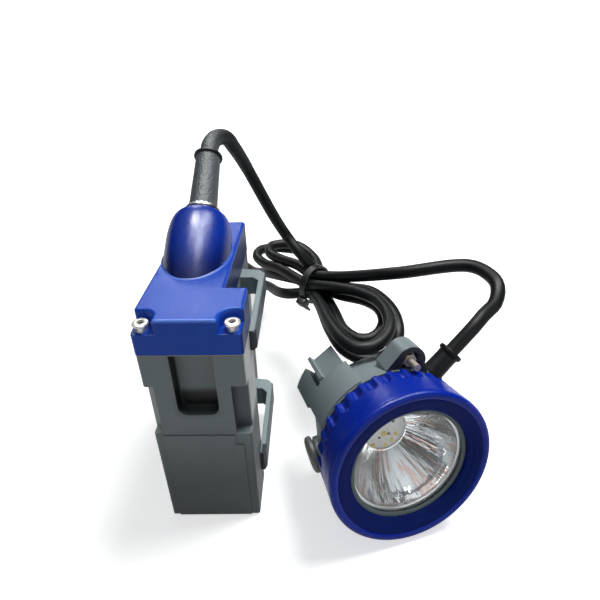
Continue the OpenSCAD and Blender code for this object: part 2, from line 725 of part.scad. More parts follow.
module lamp_bezel() color([0.1, 0.2, 0.62]) {
    place_lamp() difference() {
        rotate_extrude($fn = 96)
            polygon([[neck_r + thread_gap, -bezel_depth], [bezel_foot_r, -bezel_depth],
                [bezel_r - 0.2, -3], [bezel_r, -1.2], [bezel_r, 0], [bezel_r - 0.6, 1],
                [bezel_r - 2, 1.5], [opening_r + 4.4, 0.9], [opening_r + 3, 0.1],
                [opening_r + 1.2, -0.2], [opening_r, -0.8], [opening_r, -2.2],
                [neck_r - 0.6, -2.2], [neck_r - 0.6, neck_z + 0.3], [neck_r + thread_gap, neck_z + 0.3]]);
        for (i = [0:flute_count - 1])
            rotate([0, 0, flute_a + i * 360 / flute_count])
                translate([bezel_foot_r + flute_r - flute_depth, 0, -bezel_depth - 1])
                    cylinder(r = flute_r, h = 10, $fn = 24);
    }
}

module housing_o_ring() color([0.1, 0.1, 0.1]) {
    place_lamp() translate([0, 0, -bezel_depth - 0.2])
        ring(neck_r, neck_r + 1.2, -0.2, 0.4);
}

module lens() color([0.8, 0.86, 0.9, 0.3]) {
    place_lamp() translate([0, 0, -3 - lens_t]) cylinder(r = neck_r - 1, h = lens_t);
}

module lens_seal() color([0.12, 0.12, 0.12]) {
    place_lamp() ring(opening_r + 1.6, neck_r - 1, -3, 0.8);
}

module reflector() color([0.85, 0.86, 0.88]) {
    zf = -3 - lens_t;
    zr = led_top + 0.8;
    rim = opening_r - 0.4;
    place_lamp() rotate_extrude($fn = 96)
        polygon([[neck_r - 2.6, zf], [rim, zf], [rim - 1.4, zf - 0.6],
            [rim - 3.2, zf - 5], [rim - 6.2, zf - 10], [rim - 10.4, zf - 15],
            [reflector_hole_r, zr], [reflector_hole_r + 1, zr - 0.8],
            [rim - 9.4, zf - 16], [rim - 5, zf - 10.6], [rim - 1.8, zf - 5.2],
            [rim - 0.2, zf - 2], [neck_r - 2.6, zf - 1.6]]);
}

module led_board() color([0.9, 0.9, 0.87]) {
    place_lamp() translate([0, 0, board_z]) cylinder(r = led_board_r, h = led_board_t);
}

module main_led() color([0.95, 0.8, 0.2]) {
    place_lamp() translate([main_led_at[0], main_led_at[1], led_top]) {
        cylinder(r = 1.4, h = 0.6);
        translate([0, 0, 0.6]) cylinder(r1 = 1.1, r2 = 0.8, h = 0.5);
    }
}

module aux_leds() color([0.93, 0.9, 0.7]) {
    place_lamp() for (p = aux_led_at)
        translate([p[0], p[1], led_top]) cylinder(r = 0.9, h = 0.7, $fn = 24);
}

module led_resistors() color([0.15, 0.15, 0.16]) {
    place_lamp() for (p = resistor_at)
        translate([p[0] - 0.6, p[1] - 0.4, led_top]) cube([1.2, 0.8, 0.5]);
}

module heat_sink() color([0.72, 0.73, 0.74]) {
    place_lamp() difference() {
        union() {
            translate([0, 0, board_z - sink_t]) cylinder(r = sink_r, h = sink_t);
            translate([0, 0, -housing_len + housing_wall])
                cylinder(r = 7, h = board_z - sink_t + housing_len - housing_wall);
        }
        translate([lead_hole, 0, board_z - 5]) cylinder(r = 2, h = 8);
    }
}

// from the cable boot round the heat sink, through its hole and on to the board
lamp_lead_r = 0.55;
function boot_point(rho, z) = [rho * cos(boot_a), rho * sin(boot_a), z];
lamp_lead = [boot_point(boot_in + 2, boot_z), boot_point(boot_in - 1.2, boot_z - 0.2),
    [16, 11, board_z - 7], [lead_hole + 0.2, 5, board_z - 9], [lead_hole, 1, board_z - 7],
    [lead_hole, 0, board_z - 2], [lead_hole, 0, board_z + 0.6], [14.4, 0.4, led_top + 0.9],
    [13, 1, led_top + 0.9], [12.2, 1.8, led_top + lamp_lead_r + 0.05]];
module lamp_leads() color([0.75, 0.15, 0.1]) {
    place_lamp() tube(round_path(lamp_lead, 3), lamp_lead_r, 8);
}

// block on the pad, with a ridge and a groove beside it
module helmet_clip() color([0.5, 0.55, 0.57]) {
    rear = -housing_len - clip_len;
    place_lamp() {
        difference() {
            union() {
                arc_band(24.5, pad_r, pad_a0 + 2, pad_a1 + 3, rear, clip_len);
                arc_band(26.5, pad_r, pad_a0 + 2, pad_a1 + 3, -housing_len - 0.1, clip_z + housing_len + 0.1);
            }
            housing_cone();
            // flat top face
            rotate([0, 0, clip_flat_a]) translate([pad_r - 1.2, -20, rear - 1])
                cube([10, 28, clip_len + 12]);
            // groove beside the ridge
            rotate([0, 0, clip_ridge_a + 5]) translate([pad_r - 1.6, -clip_slot / 2, rear - 1])
                cube([10, clip_slot, clip_len - 1]);
            for (a = clip_screw_as)
                rotate([0, 0, a]) translate([24, 0, rear - 1]) {
                    cylinder(r = 1.6, h = far);
                    cylinder(r = 2.9, h = 4);
                }
        }
        rotate([0, 0, clip_ridge_a]) translate([30, -0.9, rear - 2])
            cube([pad_r - 29, 1.8, clip_len + 8]);
    }
}

module clip_screws() color([0.75, 0.75, 0.76]) {
    place_lamp() for (a = clip_screw_as)
        rotate([0, 0, a]) translate([24, 0, -housing_len - clip_len + 0.6]) {
            cylinder(r = 2.75, h = 2.4);
            cylinder(r = 1.25, h = clip_len + 1);
        }
}

// the teardrop lug: eye and two straight flanks down to the housing
module lug_shape() {
    r = lug_r;
    eye = lug_rho * [cos(lug_a), sin(lug_a)];
    union() {
        translate(eye) circle(r);
        polygon([eye + r * [cos(132), sin(132)], [-1, 33], [-1, 28.6], [18.2, 24.2], [18.2, 27.8],
            eye + r * [cos(45), sin(45)]]);
    }
}

module charging_lug() color([0.5, 0.55, 0.57]) {
    eye = lug_rho * [cos(lug_a), sin(lug_a)];
    place_lamp() difference() {
        translate([0, 0, lug_z - lug_t]) linear_extrude(lug_t) lug_shape();
        housing_cone();
        translate([eye[0], eye[1], lug_z - 7]) cylinder(r = lug_bore_r, h = 20);
        translate([eye[0], eye[1], lug_z - 20]) cylinder(r = stud_r, h = 20);
    }
}

module stud_insulator() color([0.08, 0.08, 0.09]) {
    eye = lug_rho * [cos(lug_a), sin(lug_a)];
    place_lamp() translate([eye[0], eye[1], lug_z - 7]) ring(stud_r, lug_bore_r, 0, 3);
}

module charging_stud() color([0.8, 0.8, 0.8]) {
    eye = lug_rho * [cos(lug_a), sin(lug_a)];
    place_lamp() translate([eye[0], eye[1], lug_z - 10]) cylinder(r = stud_r, h = 15.5);
}

module stud_nut() color([0.72, 0.7, 0.62]) {
    eye = lug_rho * [cos(lug_a), sin(lug_a)];
    place_lamp() translate([eye[0], eye[1], lug_z - 4]) {
        ring(stud_r, 3.4, 0, 0.5);
        difference() {
            translate([0, 0, 0.5]) cylinder(r = 3.1, h = 2.4, $fn = 6);
            cylinder(r = stud_r, h = 8);
        }
    }
}

module cable_boot() color([0.1, 0.1, 0.11]) {
    place_lamp() radial(boot_a, boot_z) difference() {
        union() {
            translate([0, 0, boot_in]) cylinder(r = boot_r, h = boot_end - boot_in);
            translate([0, 0, boot_end - 2]) cylinder(r = boot_flange_r, h = 2);
            translate([0, 0, boot_seat]) cylinder(r = boot_r + 0.8, h = 2);
        }
        translate([0, 0, 20]) cylinder(r = cable_d / 2, h = 40);
    }
}

module switch_seals() color([0.9, 0.9, 0.88]) {
    place_lamp() radial(knob_a, knob_z) {
        ring(shaft_r + 1, knob_r - 1.8, knob_seat, seal_t);
        ring(shaft_r + 1, knob_r - 3, knob_seat + seal_t, seal_t);
    }
}

module switch_knob() color([0.45, 0.5, 0.52]) {
    foot = knob_seat + 2 * seal_t + knob_gap;
    top = foot + knob_t;
    place_lamp() radial(knob_a, knob_z) {
        difference() {
            rotate_extrude()
                polygon([[0, foot], [knob_r - 0.5, foot], [knob_r, foot + 0.5], [knob_r, top - 1.4],
                    [knob_r - 0.5, top - 0.6], [knob_r - 1.6, top - 0.1], [knob_r - 2.4, top],
                    [0, top]]);
            // two finger hollows leave a grip bar between them
            for (i = [-1, 1])
                translate([-knob_r * 0.55, i * knob_r * 0.36 - 1.2, top - 0.7])
                    cube([knob_r * 1.1, 2.4, 2]);
        }
        translate([0, 0, 22.4]) cylinder(r = shaft_r, h = foot - 22.4 + 0.5);
    }
}

module switch_body() color([0.2, 0.22, 0.4]) {
    place_lamp() radial(knob_a, knob_z)
        difference() {
            translate([-6.5, -6, 20.6]) cube([13, 12, 4.2]);
            translate([0, 0, 22]) cylinder(r = shaft_r + shaft_gap, h = 10);
        }
}

battery_case();
battery_lid();
lid_gasket();
lid_screws();
threaded_inserts();
belt_loop_upper();
belt_loop_lower();
battery_cells();
cell_cradle();
cell_pad();
nickel_strips();
protection_board();
board_parts();
battery_leads();
outlet_ring();
crimp_ring();
cable_relief();
relief_sleeve();
cable();
cable_tie();
lamp_housing();
lamp_bezel();
housing_o_ring();
lens();
lens_seal();
reflector();
led_board();
main_led();
aux_leds();
led_resistors();
heat_sink();
lamp_leads();
helmet_clip();
clip_screws();
charging_lug();
stud_insulator();
charging_stud();
stud_nut();
cable_boot();
switch_knob();
switch_seals();
switch_body();
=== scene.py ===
import json
import math
import bpy
import bmesh
from mathutils import Matrix, Vector

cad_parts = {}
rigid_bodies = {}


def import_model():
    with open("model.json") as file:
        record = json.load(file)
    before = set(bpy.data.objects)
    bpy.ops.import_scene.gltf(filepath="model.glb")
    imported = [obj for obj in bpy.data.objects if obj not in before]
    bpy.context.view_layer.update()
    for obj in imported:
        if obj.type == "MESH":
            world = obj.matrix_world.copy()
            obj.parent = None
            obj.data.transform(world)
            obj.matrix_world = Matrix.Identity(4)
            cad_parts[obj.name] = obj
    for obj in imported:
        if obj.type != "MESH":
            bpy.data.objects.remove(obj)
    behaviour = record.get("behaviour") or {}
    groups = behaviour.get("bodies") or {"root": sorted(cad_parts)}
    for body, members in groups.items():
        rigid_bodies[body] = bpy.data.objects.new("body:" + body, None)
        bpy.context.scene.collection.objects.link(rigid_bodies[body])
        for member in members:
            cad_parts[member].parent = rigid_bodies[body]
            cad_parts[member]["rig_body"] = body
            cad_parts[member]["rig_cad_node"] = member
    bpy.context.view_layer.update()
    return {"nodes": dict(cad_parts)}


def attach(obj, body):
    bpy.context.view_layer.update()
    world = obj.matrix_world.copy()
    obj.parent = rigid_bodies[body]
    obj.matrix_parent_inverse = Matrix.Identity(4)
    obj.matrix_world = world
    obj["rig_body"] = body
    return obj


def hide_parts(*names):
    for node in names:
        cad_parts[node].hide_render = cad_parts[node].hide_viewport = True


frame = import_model()

MM = 0.001


def linked(name, data):
    """A new object in the scene that holds the data."""
    made = bpy.data.objects.new(name, data)
    bpy.context.scene.collection.objects.link(made)
    return made


# ---------------------------------------------------------------- camera

CAMERA_AT = Vector((45.62, -182.64, 199.76))
YAW, PITCH, ROLL = math.radians(-0.241), math.radians(30.089), math.radians(0.698)

eye = bpy.data.cameras.new("studio_camera")
camera = linked("studio_camera", eye)
bpy.context.scene.camera = camera
eye.sensor_width = 36
eye.lens = 29.235
eye.shift_x = -0.0229
eye.shift_y = -0.0241
eye.clip_start = 0.01
forward = Vector((math.sin(YAW) * math.cos(PITCH), math.cos(YAW) * math.cos(PITCH), -math.sin(PITCH)))
level = Vector((math.cos(YAW), -math.sin(YAW), 0))
down = forward.cross(level)
right = math.cos(ROLL) * level + math.sin(ROLL) * down
up = -(math.cos(ROLL) * down - math.sin(ROLL) * level)
turn = Matrix((right, up, -forward)).transposed().to_4x4()
camera.matrix_world = Matrix.Translation(CAMERA_AT * MM) @ turn

# ---------------------------------------------------------------- places

LAMP_PITCH, LAMP_YAW = 10, 17
BEZEL_FOOT_R, BEZEL_DEPTH = 34.2, 20.2
LAMP_AT = Vector((84, -49.7, BEZEL_FOOT_R * math.cos(math.radians(LAMP_PITCH))
                  + BEZEL_DEPTH * math.sin(math.radians(LAMP_PITCH))))
LAMP = (Matrix.Translation(LAMP_AT) @ Matrix.Rotation(math.radians(LAMP_YAW), 4, "Z")
        @ Matrix.Rotation(math.radians(90 - LAMP_PITCH), 4, "X"))
OUTLET_AT = Vector((-5.1, 22.9, 117.2))
LEAN = math.radians(55)
OUTLET = Matrix.Translation(OUTLET_AT) @ Matrix.Rotation(-LEAN, 4, "X")
OUT = Vector((0, math.sin(LEAN), math.cos(LEAN)))
RELIEF_LEN, COLLAR_T = 32.8, 1.4
RELIEF_END = OUTLET_AT + OUT * (RELIEF_LEN + COLLAR_T)


def radial(angle, z):
    """Place in the headlamp whose z points outward at an angle."""
    return (LAMP @ Matrix.Rotation(math.radians(angle), 4, "Z")
            @ Matrix.Translation((0, 0, z)) @ Matrix.Rotation(math.radians(90), 4, "Y"))


# ---------------------------------------------------------------- modelling

def clear():
    """Leaves edit mode with nothing selected."""
    if bpy.context.mode != "OBJECT":
        bpy.ops.object.mode_set(mode="OBJECT")
    bpy.ops.object.select_all(action="DESELECT")


def take(piece):
    clear()
    piece.select_set(True)
    bpy.context.view_layer.objects.active = piece


def named(name):
    piece = bpy.context.object
    piece.name = name
    piece.data.name = name
    return piece


def edit(piece, mode="VERT"):
    take(piece)
    bpy.ops.object.mode_set(mode="EDIT")
    bpy.ops.mesh.select_mode(type=mode)
    bpy.ops.mesh.select_all(action="DESELECT")


def round_edges(piece, test, width, segments):
    """In edit mode, rounds the edges that pass a test."""
    mesh = bmesh.from_edit_mesh(piece.data)
    for part in mesh.edges:
        part.select_set(False)
    for part in mesh.edges:
        if test(part):
            part.select_set(True)
    mesh.select_flush_mode()
    bmesh.update_edit_mesh(piece.data)
    bpy.ops.mesh.bevel(offset=width, segments=segments, affect="EDGES")


def reshape(piece, change):
    """Passes every vertex to a function that may move it."""
    edit(piece)
    mesh = bmesh.from_edit_mesh(piece.data)
    for v in mesh.verts:
        change(v)
    bmesh.update_edit_mesh(piece.data)
    bpy.ops.object.mode_set(mode="OBJECT")


def cut_off(at, facing):
    """In edit mode, cuts away what lies past a plane and closes the cut."""
    bpy.ops.mesh.select_all(action="SELECT")
    bpy.ops.mesh.bisect(plane_co=at, plane_no=facing, clear_outer=True, use_fill=True)


def done(piece, smooth=35, weighted=False):
    """Shades a finished piece smooth, apart from edges sharper than the angle."""
    take(piece)
    bpy.ops.object.shade_smooth_by_angle(angle=math.radians(smooth))
    if weighted:
        modify(piece, "WEIGHTED_NORMAL", keep_sharp=True, weight=80)
    return piece


def settle(piece):
    """Writes the object's place into its mesh."""
    take(piece)
    bpy.ops.object.transform_apply(location=True, rotation=True, scale=True)
    return piece


def put(piece, place=Matrix.Identity(4)):
    """Moves a piece modelled in mm to its place, in metres."""
    piece.matrix_world = Matrix.Scale(MM, 4) @ place
    bpy.context.view_layer.update()
    return settle(piece)


def point(name, at):
    """A lone vertex, ready to be drawn out."""
    clear()
    bpy.ops.mesh.primitive_plane_add(size=1, location=(0, 0, 0))
    piece = named(name)
    bpy.ops.object.mode_set(mode="EDIT")
    bpy.ops.mesh.select_mode(type="VERT")
    bpy.ops.mesh.select_all(action="SELECT")
    bpy.ops.mesh.merge(type="CENTER")
    bpy.ops.transform.translate(value=at)
    return piece


def outline(name, points):
    """A line drawn from point to point, still in edit mode."""
    piece = point(name, points[0])
    for a, b in zip(points, points[1:]):
        step = [q - p for p, q in zip(a, b)]
        bpy.ops.mesh.extrude_vertices_move(TRANSFORM_OT_translate={"value": step})
    return piece


def lathe(name, profile, steps=96, place=None, smooth=35):
    """A profile of (radius, height) points spun about z."""
    piece = outline(name, [(r, 0, z) for r, z in profile])
    bpy.ops.mesh.select_all(action="SELECT")
    bpy.ops.mesh.spin(steps=steps, angle=2 * math.pi, center=(0, 0, 0), axis=(0, 0, 1))
    bpy.ops.mesh.select_all(action="SELECT")
    bpy.ops.mesh.remove_doubles(threshold=0.0005)
    bpy.ops.mesh.normals_make_consistent(inside=False)
    bpy.ops.object.mode_set(mode="OBJECT")
    if place is not None:
        put(piece, place)
    return done(piece, smooth)


def prism(name, points, low, high):
    """A plan of (x, y) points drawn up from one height to another."""
    piece = outline(name, [(x, y, low) for x, y in points])
    bpy.ops.mesh.select_all(action="SELECT")
    bpy.ops.mesh.edge_face_add()
    bpy.ops.mesh.extrude_region_move(TRANSFORM_OT_translate={"value": (0, 0, high - low)})
    bpy.ops.mesh.select_all(action="SELECT")
    bpy.ops.mesh.normals_make_consistent(inside=False)
    bpy.ops.object.mode_set(mode="OBJECT")
    return piece


def block(name, low, high):
    clear()
    centre = [(a + b) / 2 for a, b in zip(low, high)]
    bpy.ops.mesh.primitive_cube_add(size=1, location=centre)
    piece = named(name)
    piece.scale = [b - a for a, b in zip(low, high)]
    return settle(piece)


def rod(name, radius, low, high, at=(0, 0), sides=48):
    clear()
    bpy.ops.mesh.primitive_cylinder_add(vertices=sides, radius=radius, depth=high - low,
                                        location=(at[0], at[1], (low + high) / 2))
    return settle(named(name))


def modify(piece, kind, **values):
    """Applies one of the modifiers with the values given."""
    take(piece)
    tool = piece.modifiers.new(kind.title(), kind)
    for key, value in values.items():
        setattr(tool, key, value)
    bpy.ops.object.modifier_apply(modifier=tool.name)
    return piece


def bevel(piece, width, segments=3, angle=30):
    return modify(piece, "BEVEL", width=width, segments=segments, limit_method="ANGLE",
                  angle_limit=math.radians(angle), use_clamp_overlap=True)


def combine(piece, other, operation="DIFFERENCE"):
    """Cuts the other piece out, or unites it, and uses it up."""
    modify(piece, "BOOLEAN", object=other, operation=operation, solver="EXACT")
    bpy.data.objects.remove(other)
    return piece


def join(first, *rest):
    clear()
    for other in (first, *rest):
        other.select_set(True)
    bpy.context.view_layer.objects.active = first
    bpy.ops.object.join()
    return first


def copy_of(piece, name, move):
    """A copy of a finished piece, moved."""
    take(piece)
    bpy.ops.object.duplicate()
    twin = named(name)
    twin.matrix_world = move @ twin.matrix_world
    bpy.context.view_layer.update()
    return settle(twin)


SOFT_SHADE = 32


def soften(cad_node, name, width, segments=3, angle=32):
    """A copy of a CAD node with its edges rounded as moulding leaves them."""
    take(frame["nodes"][cad_node])
    bpy.ops.object.duplicate()
    piece = named(name)
    piece.parent = None
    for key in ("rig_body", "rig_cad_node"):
        if key in piece:
            del piece[key]
    piece.data.materials.clear()
    bpy.ops.object.mode_set(mode="EDIT")
    bpy.ops.mesh.select_all(action="SELECT")
    bpy.ops.mesh.remove_doubles(threshold=0.000002)
    bpy.ops.mesh.dissolve_limited(angle_limit=math.radians(0.6))
    bpy.ops.object.mode_set(mode="OBJECT")
    bevel(settle(piece), width * MM, segments, angle)
    return done(piece, SOFT_SHADE, True)


def unit_frames(points):
    """Tangent and two side directions at each point of a path."""
    tangents = []
    for i in range(len(points)):
        a, b = points[max(i - 1, 0)], points[min(i + 1, len(points) - 1)]
        tangents.append((b - a).normalized())
    side = tangents[0].orthogonal().normalized()
    frames = []
    for t in tangents:
        side = (side - side.dot(t) * t).normalized()
        frames.append((t, side, t.cross(side)))
    return frames


def smooth_path(points, step):
    """A centripetal curve through the points, in mm."""
    pts = [Vector(p) for p in points]
    ends = [2 * pts[0] - pts[1]] + pts + [2 * pts[-1] - pts[-2]]
    out = []
    for i in range(1, len(ends) - 2):
        p0, p1, p2, p3 = ends[i - 1:i + 3]
        t1 = math.sqrt((p1 - p0).length)
        t2 = t1 + math.sqrt((p2 - p1).length)
        t3 = t2 + math.sqrt((p3 - p2).length)
        count = max(2, round((p2 - p1).length / step))
        for k in range(count):
            t = t1 + (t2 - t1) * k / count
            a1 = (t1 - t) / t1 * p0 + t / t1 * p1
            a2 = (t2 - t) / (t2 - t1) * p1 + (t - t1) / (t2 - t1) * p2
            a3 = (t3 - t) / (t3 - t2) * p2 + (t - t2) / (t3 - t2) * p3
            b1 = (t2 - t) / t2 * a1 + t / t2 * a2
            b2 = (t3 - t) / (t3 - t1) * a2 + (t - t1) / (t3 - t1) * a3
            out.append((t2 - t) / (t2 - t1) * b1 + (t - t1) / (t2 - t1) * b2)
    out.append(pts[-1])
    return out


def from_bmesh(name, mesh, smooth):
    """Makes a built mesh a piece of the scene."""
    bmesh.ops.recalc_face_normals(mesh, faces=mesh.faces)
    data = bpy.data.meshes.new(name)
    mesh.to_mesh(data)
    mesh.free()
    return done(linked(name, data), smooth)


def swept(name, points, radii, sides):
    """A closed tube along a path whose radius follows a list."""
    mesh = bmesh.new()
    rings = []
    for p, r, (t, u, w) in zip(points, radii, unit_frames(points)):
        ring = []
        for j in range(sides):
            a = 2 * math.pi * j / sides
            ring.append(mesh.verts.new((p + r * (math.cos(a) * u + math.sin(a) * w)) * MM))
        rings.append(ring)
    for a, b in zip(rings, rings[1:]):
        for j in range(sides):
            k = (j + 1) % sides
            mesh.faces.new((a[j], a[k], b[k], b[j]))
    mesh.faces.new(list(reversed(rings[0])))
    mesh.faces.new(rings[-1])
    return from_bmesh(name, mesh, 40)


# ---------------------------------------------------------------- shader helpers

def group(name, inputs, outputs):
    """An empty shader node group with named float, colour or vector sockets."""
    tree = bpy.data.node_groups.new(name, "ShaderNodeTree")
    kinds = {"f": "NodeSocketFloat", "c": "NodeSocketColor", "v": "NodeSocketVector"}
    for label, kind, value in inputs:
        socket = tree.interface.new_socket(label, in_out="INPUT", socket_type=kinds[kind])
        if value is not None:
            socket.default_value = value
    for label, kind in outputs:
        tree.interface.new_socket(label, in_out="OUTPUT", socket_type=kinds[kind])
    return tree, tree.nodes.new("NodeGroupInput"), tree.nodes.new("NodeGroupOutput")


def feed(tree, made, links):
    """Gives inputs of a node a value each, or what another node puts out."""
    for key, value in links.items():
        socket = made.inputs[key]
        if isinstance(value, bpy.types.NodeSocket):
            tree.links.new(value, socket)
        else:
            socket.default_value = value
    return made


def node(tree, kind, links=None, **values):
    """Adds a node with its settings and feeds its inputs."""
    made = tree.nodes.new(kind)
    for key, value in values.items():
        setattr(made, key, value)
    return feed(tree, made, links or {})


def placed(tree, which, links):
    """One of the shared node groups, with its own values."""
    return node(tree, "ShaderNodeGroup", links, node_tree=which).outputs


def times(tree, a, b):
    return node(tree, "ShaderNodeMath", {0: a, 1: b}, operation="MULTIPLY").outputs[0]


def plus(tree, a, b):
    return node(tree, "ShaderNodeMath", {0: a, 1: b}, operation="ADD").outputs[0]


def mixed(tree, factor, a, b):
    """Colour a, turned into colour b as the factor grows."""
    return node(tree, "ShaderNodeMix", {0: factor, 6: a, 7: b}, data_type="RGBA").outputs[2]


def noise(tree, place, scale, detail, **more):
    links = {"Vector": place, "Scale": scale, "Detail": detail, **more}
    return node(tree, "ShaderNodeTexNoise", links).outputs[0]


def spread(tree, value, low, high, start=0.0, end=1.0):
    """Maps start to end onto low to high."""
    return node(tree, "ShaderNodeMapRange", {"Value": value, "From Min": start, "From Max": end,
                                             "To Min": low, "To Max": high}).outputs[0]


def bumped(tree, height, strength, distance, below=None):
    """A normal raised by a height, on top of the normal below it if there is one."""
    links = {"Height": height, "Strength": strength, "Distance": distance}
    if below is not None:
        links["Normal"] = below
    return node(tree, "ShaderNodeBump", links).outputs[0]


def ramp(tree, value, stops):
    made = node(tree, "ShaderNodeValToRGB", {"Fac": value})
    band = made.color_ramp
    while len(band.elements) < len(stops):
        band.elements.new(0.5)
    for element, (place, level) in zip(band.elements, stops):
        element.position = place
        element.color = (level, level, level, 1)
    return made.outputs["Color"]


# ---------------------------------------------------------------- shared node groups

def moulding_group():
    """Fine spark-eroded grain of moulded plastic, with faint colour drift and rubbed spots."""
    tree, given, result = group(
        "moulded_grain",
        [("Vector", "v", None), ("Grain", "f", 2600.0), ("Drift", "f", 60.0),
         ("Color", "c", (0.5, 0.5, 0.5, 1)), ("Rubbed", "c", (0.6, 0.6, 0.6, 1)), ("Wear", "f", 0.2),
         ("Rough Low", "f", 0.4), ("Rough High", "f", 0.6)],
        [("Color", "c"), ("Roughness", "f"), ("Height", "f")])
    asked = given.outputs
    fine = noise(tree, asked["Vector"], asked["Grain"], 3.0, Roughness=0.6)
    cells = node(tree, "ShaderNodeTexVoronoi", {"Vector": asked["Vector"], "Scale": asked["Grain"]})
    broad = noise(tree, asked["Vector"], asked["Drift"], 4.0)
    patch = ramp(tree, broad, [(0.42, 0.0), (0.66, 1.0)])
    feed(tree, result, {
        "Color": mixed(tree, times(tree, patch, asked["Wear"]), asked["Color"], asked["Rubbed"]),
        "Roughness": spread(tree, broad, asked["Rough Low"], asked["Rough High"], 0.3, 0.7),
        "Height": plus(tree, fine, cells.outputs["Distance"])})
    return tree


def handling_group():
    """Hairline scratches in two directions and a little settled dust."""
    tree, given, result = group(
        "handling_marks",
        [("Vector", "v", None), ("Scratch Scale", "f", 90.0), ("Dust", "f", 0.2),
         ("Color", "c", (0.5, 0.5, 0.5, 1)), ("Dust Color", "c", (0.5, 0.48, 0.44, 1))],
        [("Color", "c"), ("Scratch", "f")])
    asked = given.outputs
    hairs = []
    for angle, stretch in ((0.5, (1.0, 26.0, 1.0)), (-0.9, (22.0, 1.0, 1.6))):
        turned = node(tree, "ShaderNodeMapping", {"Vector": asked["Vector"], "Scale": stretch,
                                                  "Rotation": (0.3, angle, angle)})
        hair = noise(tree, turned.outputs[0], asked["Scratch Scale"], 2.0)
        hairs.append(ramp(tree, hair, [(0.66, 0.0), (0.74, 1.0)]))
    both = node(tree, "ShaderNodeMath", {0: hairs[0], 1: hairs[1]}, operation="MAXIMUM")
    face = node(tree, "ShaderNodeNewGeometry")
    facing = node(tree, "ShaderNodeSeparateXYZ", {0: face.outputs["Normal"]})
    upward = ramp(tree, facing.outputs[2], [(0.35, 0.0), (1.0, 1.0)])
    flecks = ramp(tree, noise(tree, asked["Vector"], 420.0, 5.0), [(0.5, 0.0), (0.72, 1.0)])
    amount = times(tree, times(tree, upward, flecks), asked["Dust"])
    feed(tree, result, {"Color": mixed(tree, amount, asked["Color"], asked["Dust Color"]),
                        "Scratch": both.outputs[0]})
    return tree


MOULDING = moulding_group()
HANDLING = handling_group()

# ---------------------------------------------------------------- kinds of material


def blank(name):
    """A material with a shader that nothing feeds yet, and its Object coordinates."""
    material = bpy.data.materials.new(name)
    material.use_nodes = True
    tree = material.node_tree
    tree.nodes.clear()
    shader = node(tree, "ShaderNodeBsdfPrincipled")
    node(tree, "ShaderNodeOutputMaterial", {0: shader.outputs[0]})
    return material, tree, shader, node(tree, "ShaderNodeTexCoord").outputs["Object"]


def colour(r, g, b):
    """A display colour, 0 to 255, as linear light."""
    def linear(v):
        v /= 255
        return v / 12.92 if v <= 0.04045 else ((v + 0.055) / 1.055) ** 2.4
    return (linear(r), linear(g), linear(b), 1)


def zone(tree, place, limits, soft):
    """A mask that is one inside a box given in mm and fades over a soft edge."""
    axes = node(tree, "ShaderNodeSeparateXYZ", {0: place})
    mask = None
    for axis, (low, high) in enumerate(limits):
        for edge, sign in ((low, 1), (high, -1)):
            if edge is None:
                continue
            step = node(tree, "ShaderNodeMapRange",
                        {"Value": axes.outputs[axis], "From Min": (edge - sign * soft) * MM,
                         "From Max": (edge + sign * soft) * MM}, interpolation_type="SMOOTHSTEP").outputs[0]
            mask = step if mask is None else times(tree, mask, step)
    return mask


def lamp_space(tree, place):
    """Object coordinates seen from the headlamp, z out of the lens."""
    back = LAMP.inverted()
    return node(tree, "ShaderNodeMapping", {"Vector": place, "Location": back.translation * MM,
                                            "Rotation": back.to_euler()}).outputs[0]


def plastic(name, base, rubbed, rough=(0.4, 0.55), grain=2600, bump=0.12, wear=0.2, dust=0.15,
            coat=0.0, specular=0.5, scratch=0.3, tint=(1, 1, 1), zones=(), seen_from=None):
    """Moulded plastic; a zone is a box in mm, the width of its soft edge and its colour."""
    material, tree, shader, place = blank(name)
    spot = seen_from(tree, place) if seen_from else place
    mould = placed(tree, MOULDING, {"Vector": place, "Grain": float(grain), "Color": base, "Rubbed": rubbed,
                                    "Wear": wear, "Rough Low": rough[0], "Rough High": rough[1]})
    shade = mould["Color"]
    for limits, soft, tone in zones:
        shade = mixed(tree, zone(tree, spot, limits, soft), shade, tone)
    marks = placed(tree, HANDLING, {"Vector": place, "Color": shade, "Dust": dust})
    grainy = bumped(tree, mould["Height"], bump, 0.0002)
    feed(tree, shader, {
        "Base Color": marks["Color"],
        "Roughness": plus(tree, mould["Roughness"], times(tree, marks["Scratch"], 0.12 * scratch)),
        "Normal": bumped(tree, marks["Scratch"], 0.05 * scratch, 0.0001, grainy),
        "Specular IOR Level": specular, "Specular Tint": (*tint, 1),
        "Coat Weight": coat, "Coat Roughness": 0.12})
    return material


def grey_plastic(name, base, rubbed, rough=(0.4, 0.5), grain=3000, bump=0.12, **more):
    return plastic(name, base, rubbed, rough, grain, bump, 0.3, 0.03, 0.0, 0.4, 0.3, **more)


def rubber(name, base, rough=(0.45, 0.62), grain=1800, bump=0.08, dust=0.25, specular=0.4, zones=()):
    worn = tuple(1.6 * v + 0.004 for v in base[:3]) + (1,)
    return plastic(name, base, worn, rough, grain, bump, 0.25, dust, 0.0, specular, 0.15, zones=zones)


def metal(name, base, rough=0.25, turned=0.0, tarnish=0.15, bare=1.0):
    """Metal with fine turning marks and dull spots; bare is how much of it shines as metal."""
    material, tree, shader, place = blank(name)
    cloud = noise(tree, place, 900.0, 4.0)
    dull = ramp(tree, cloud, [(0.45, 0.0), (0.7, 1.0)])
    darker = tuple(0.55 * v for v in base[:3]) + (1,)
    feed(tree, shader, {
        "Base Color": mixed(tree, times(tree, dull, tarnish), base, darker),
        "Roughness": spread(tree, cloud, rough * 0.7, rough * 1.5),
        "Normal": bumped(tree, noise(tree, place, 5200.0, 2.0), 0.06 + turned, 0.00005),
        "Metallic": bare})
    return material


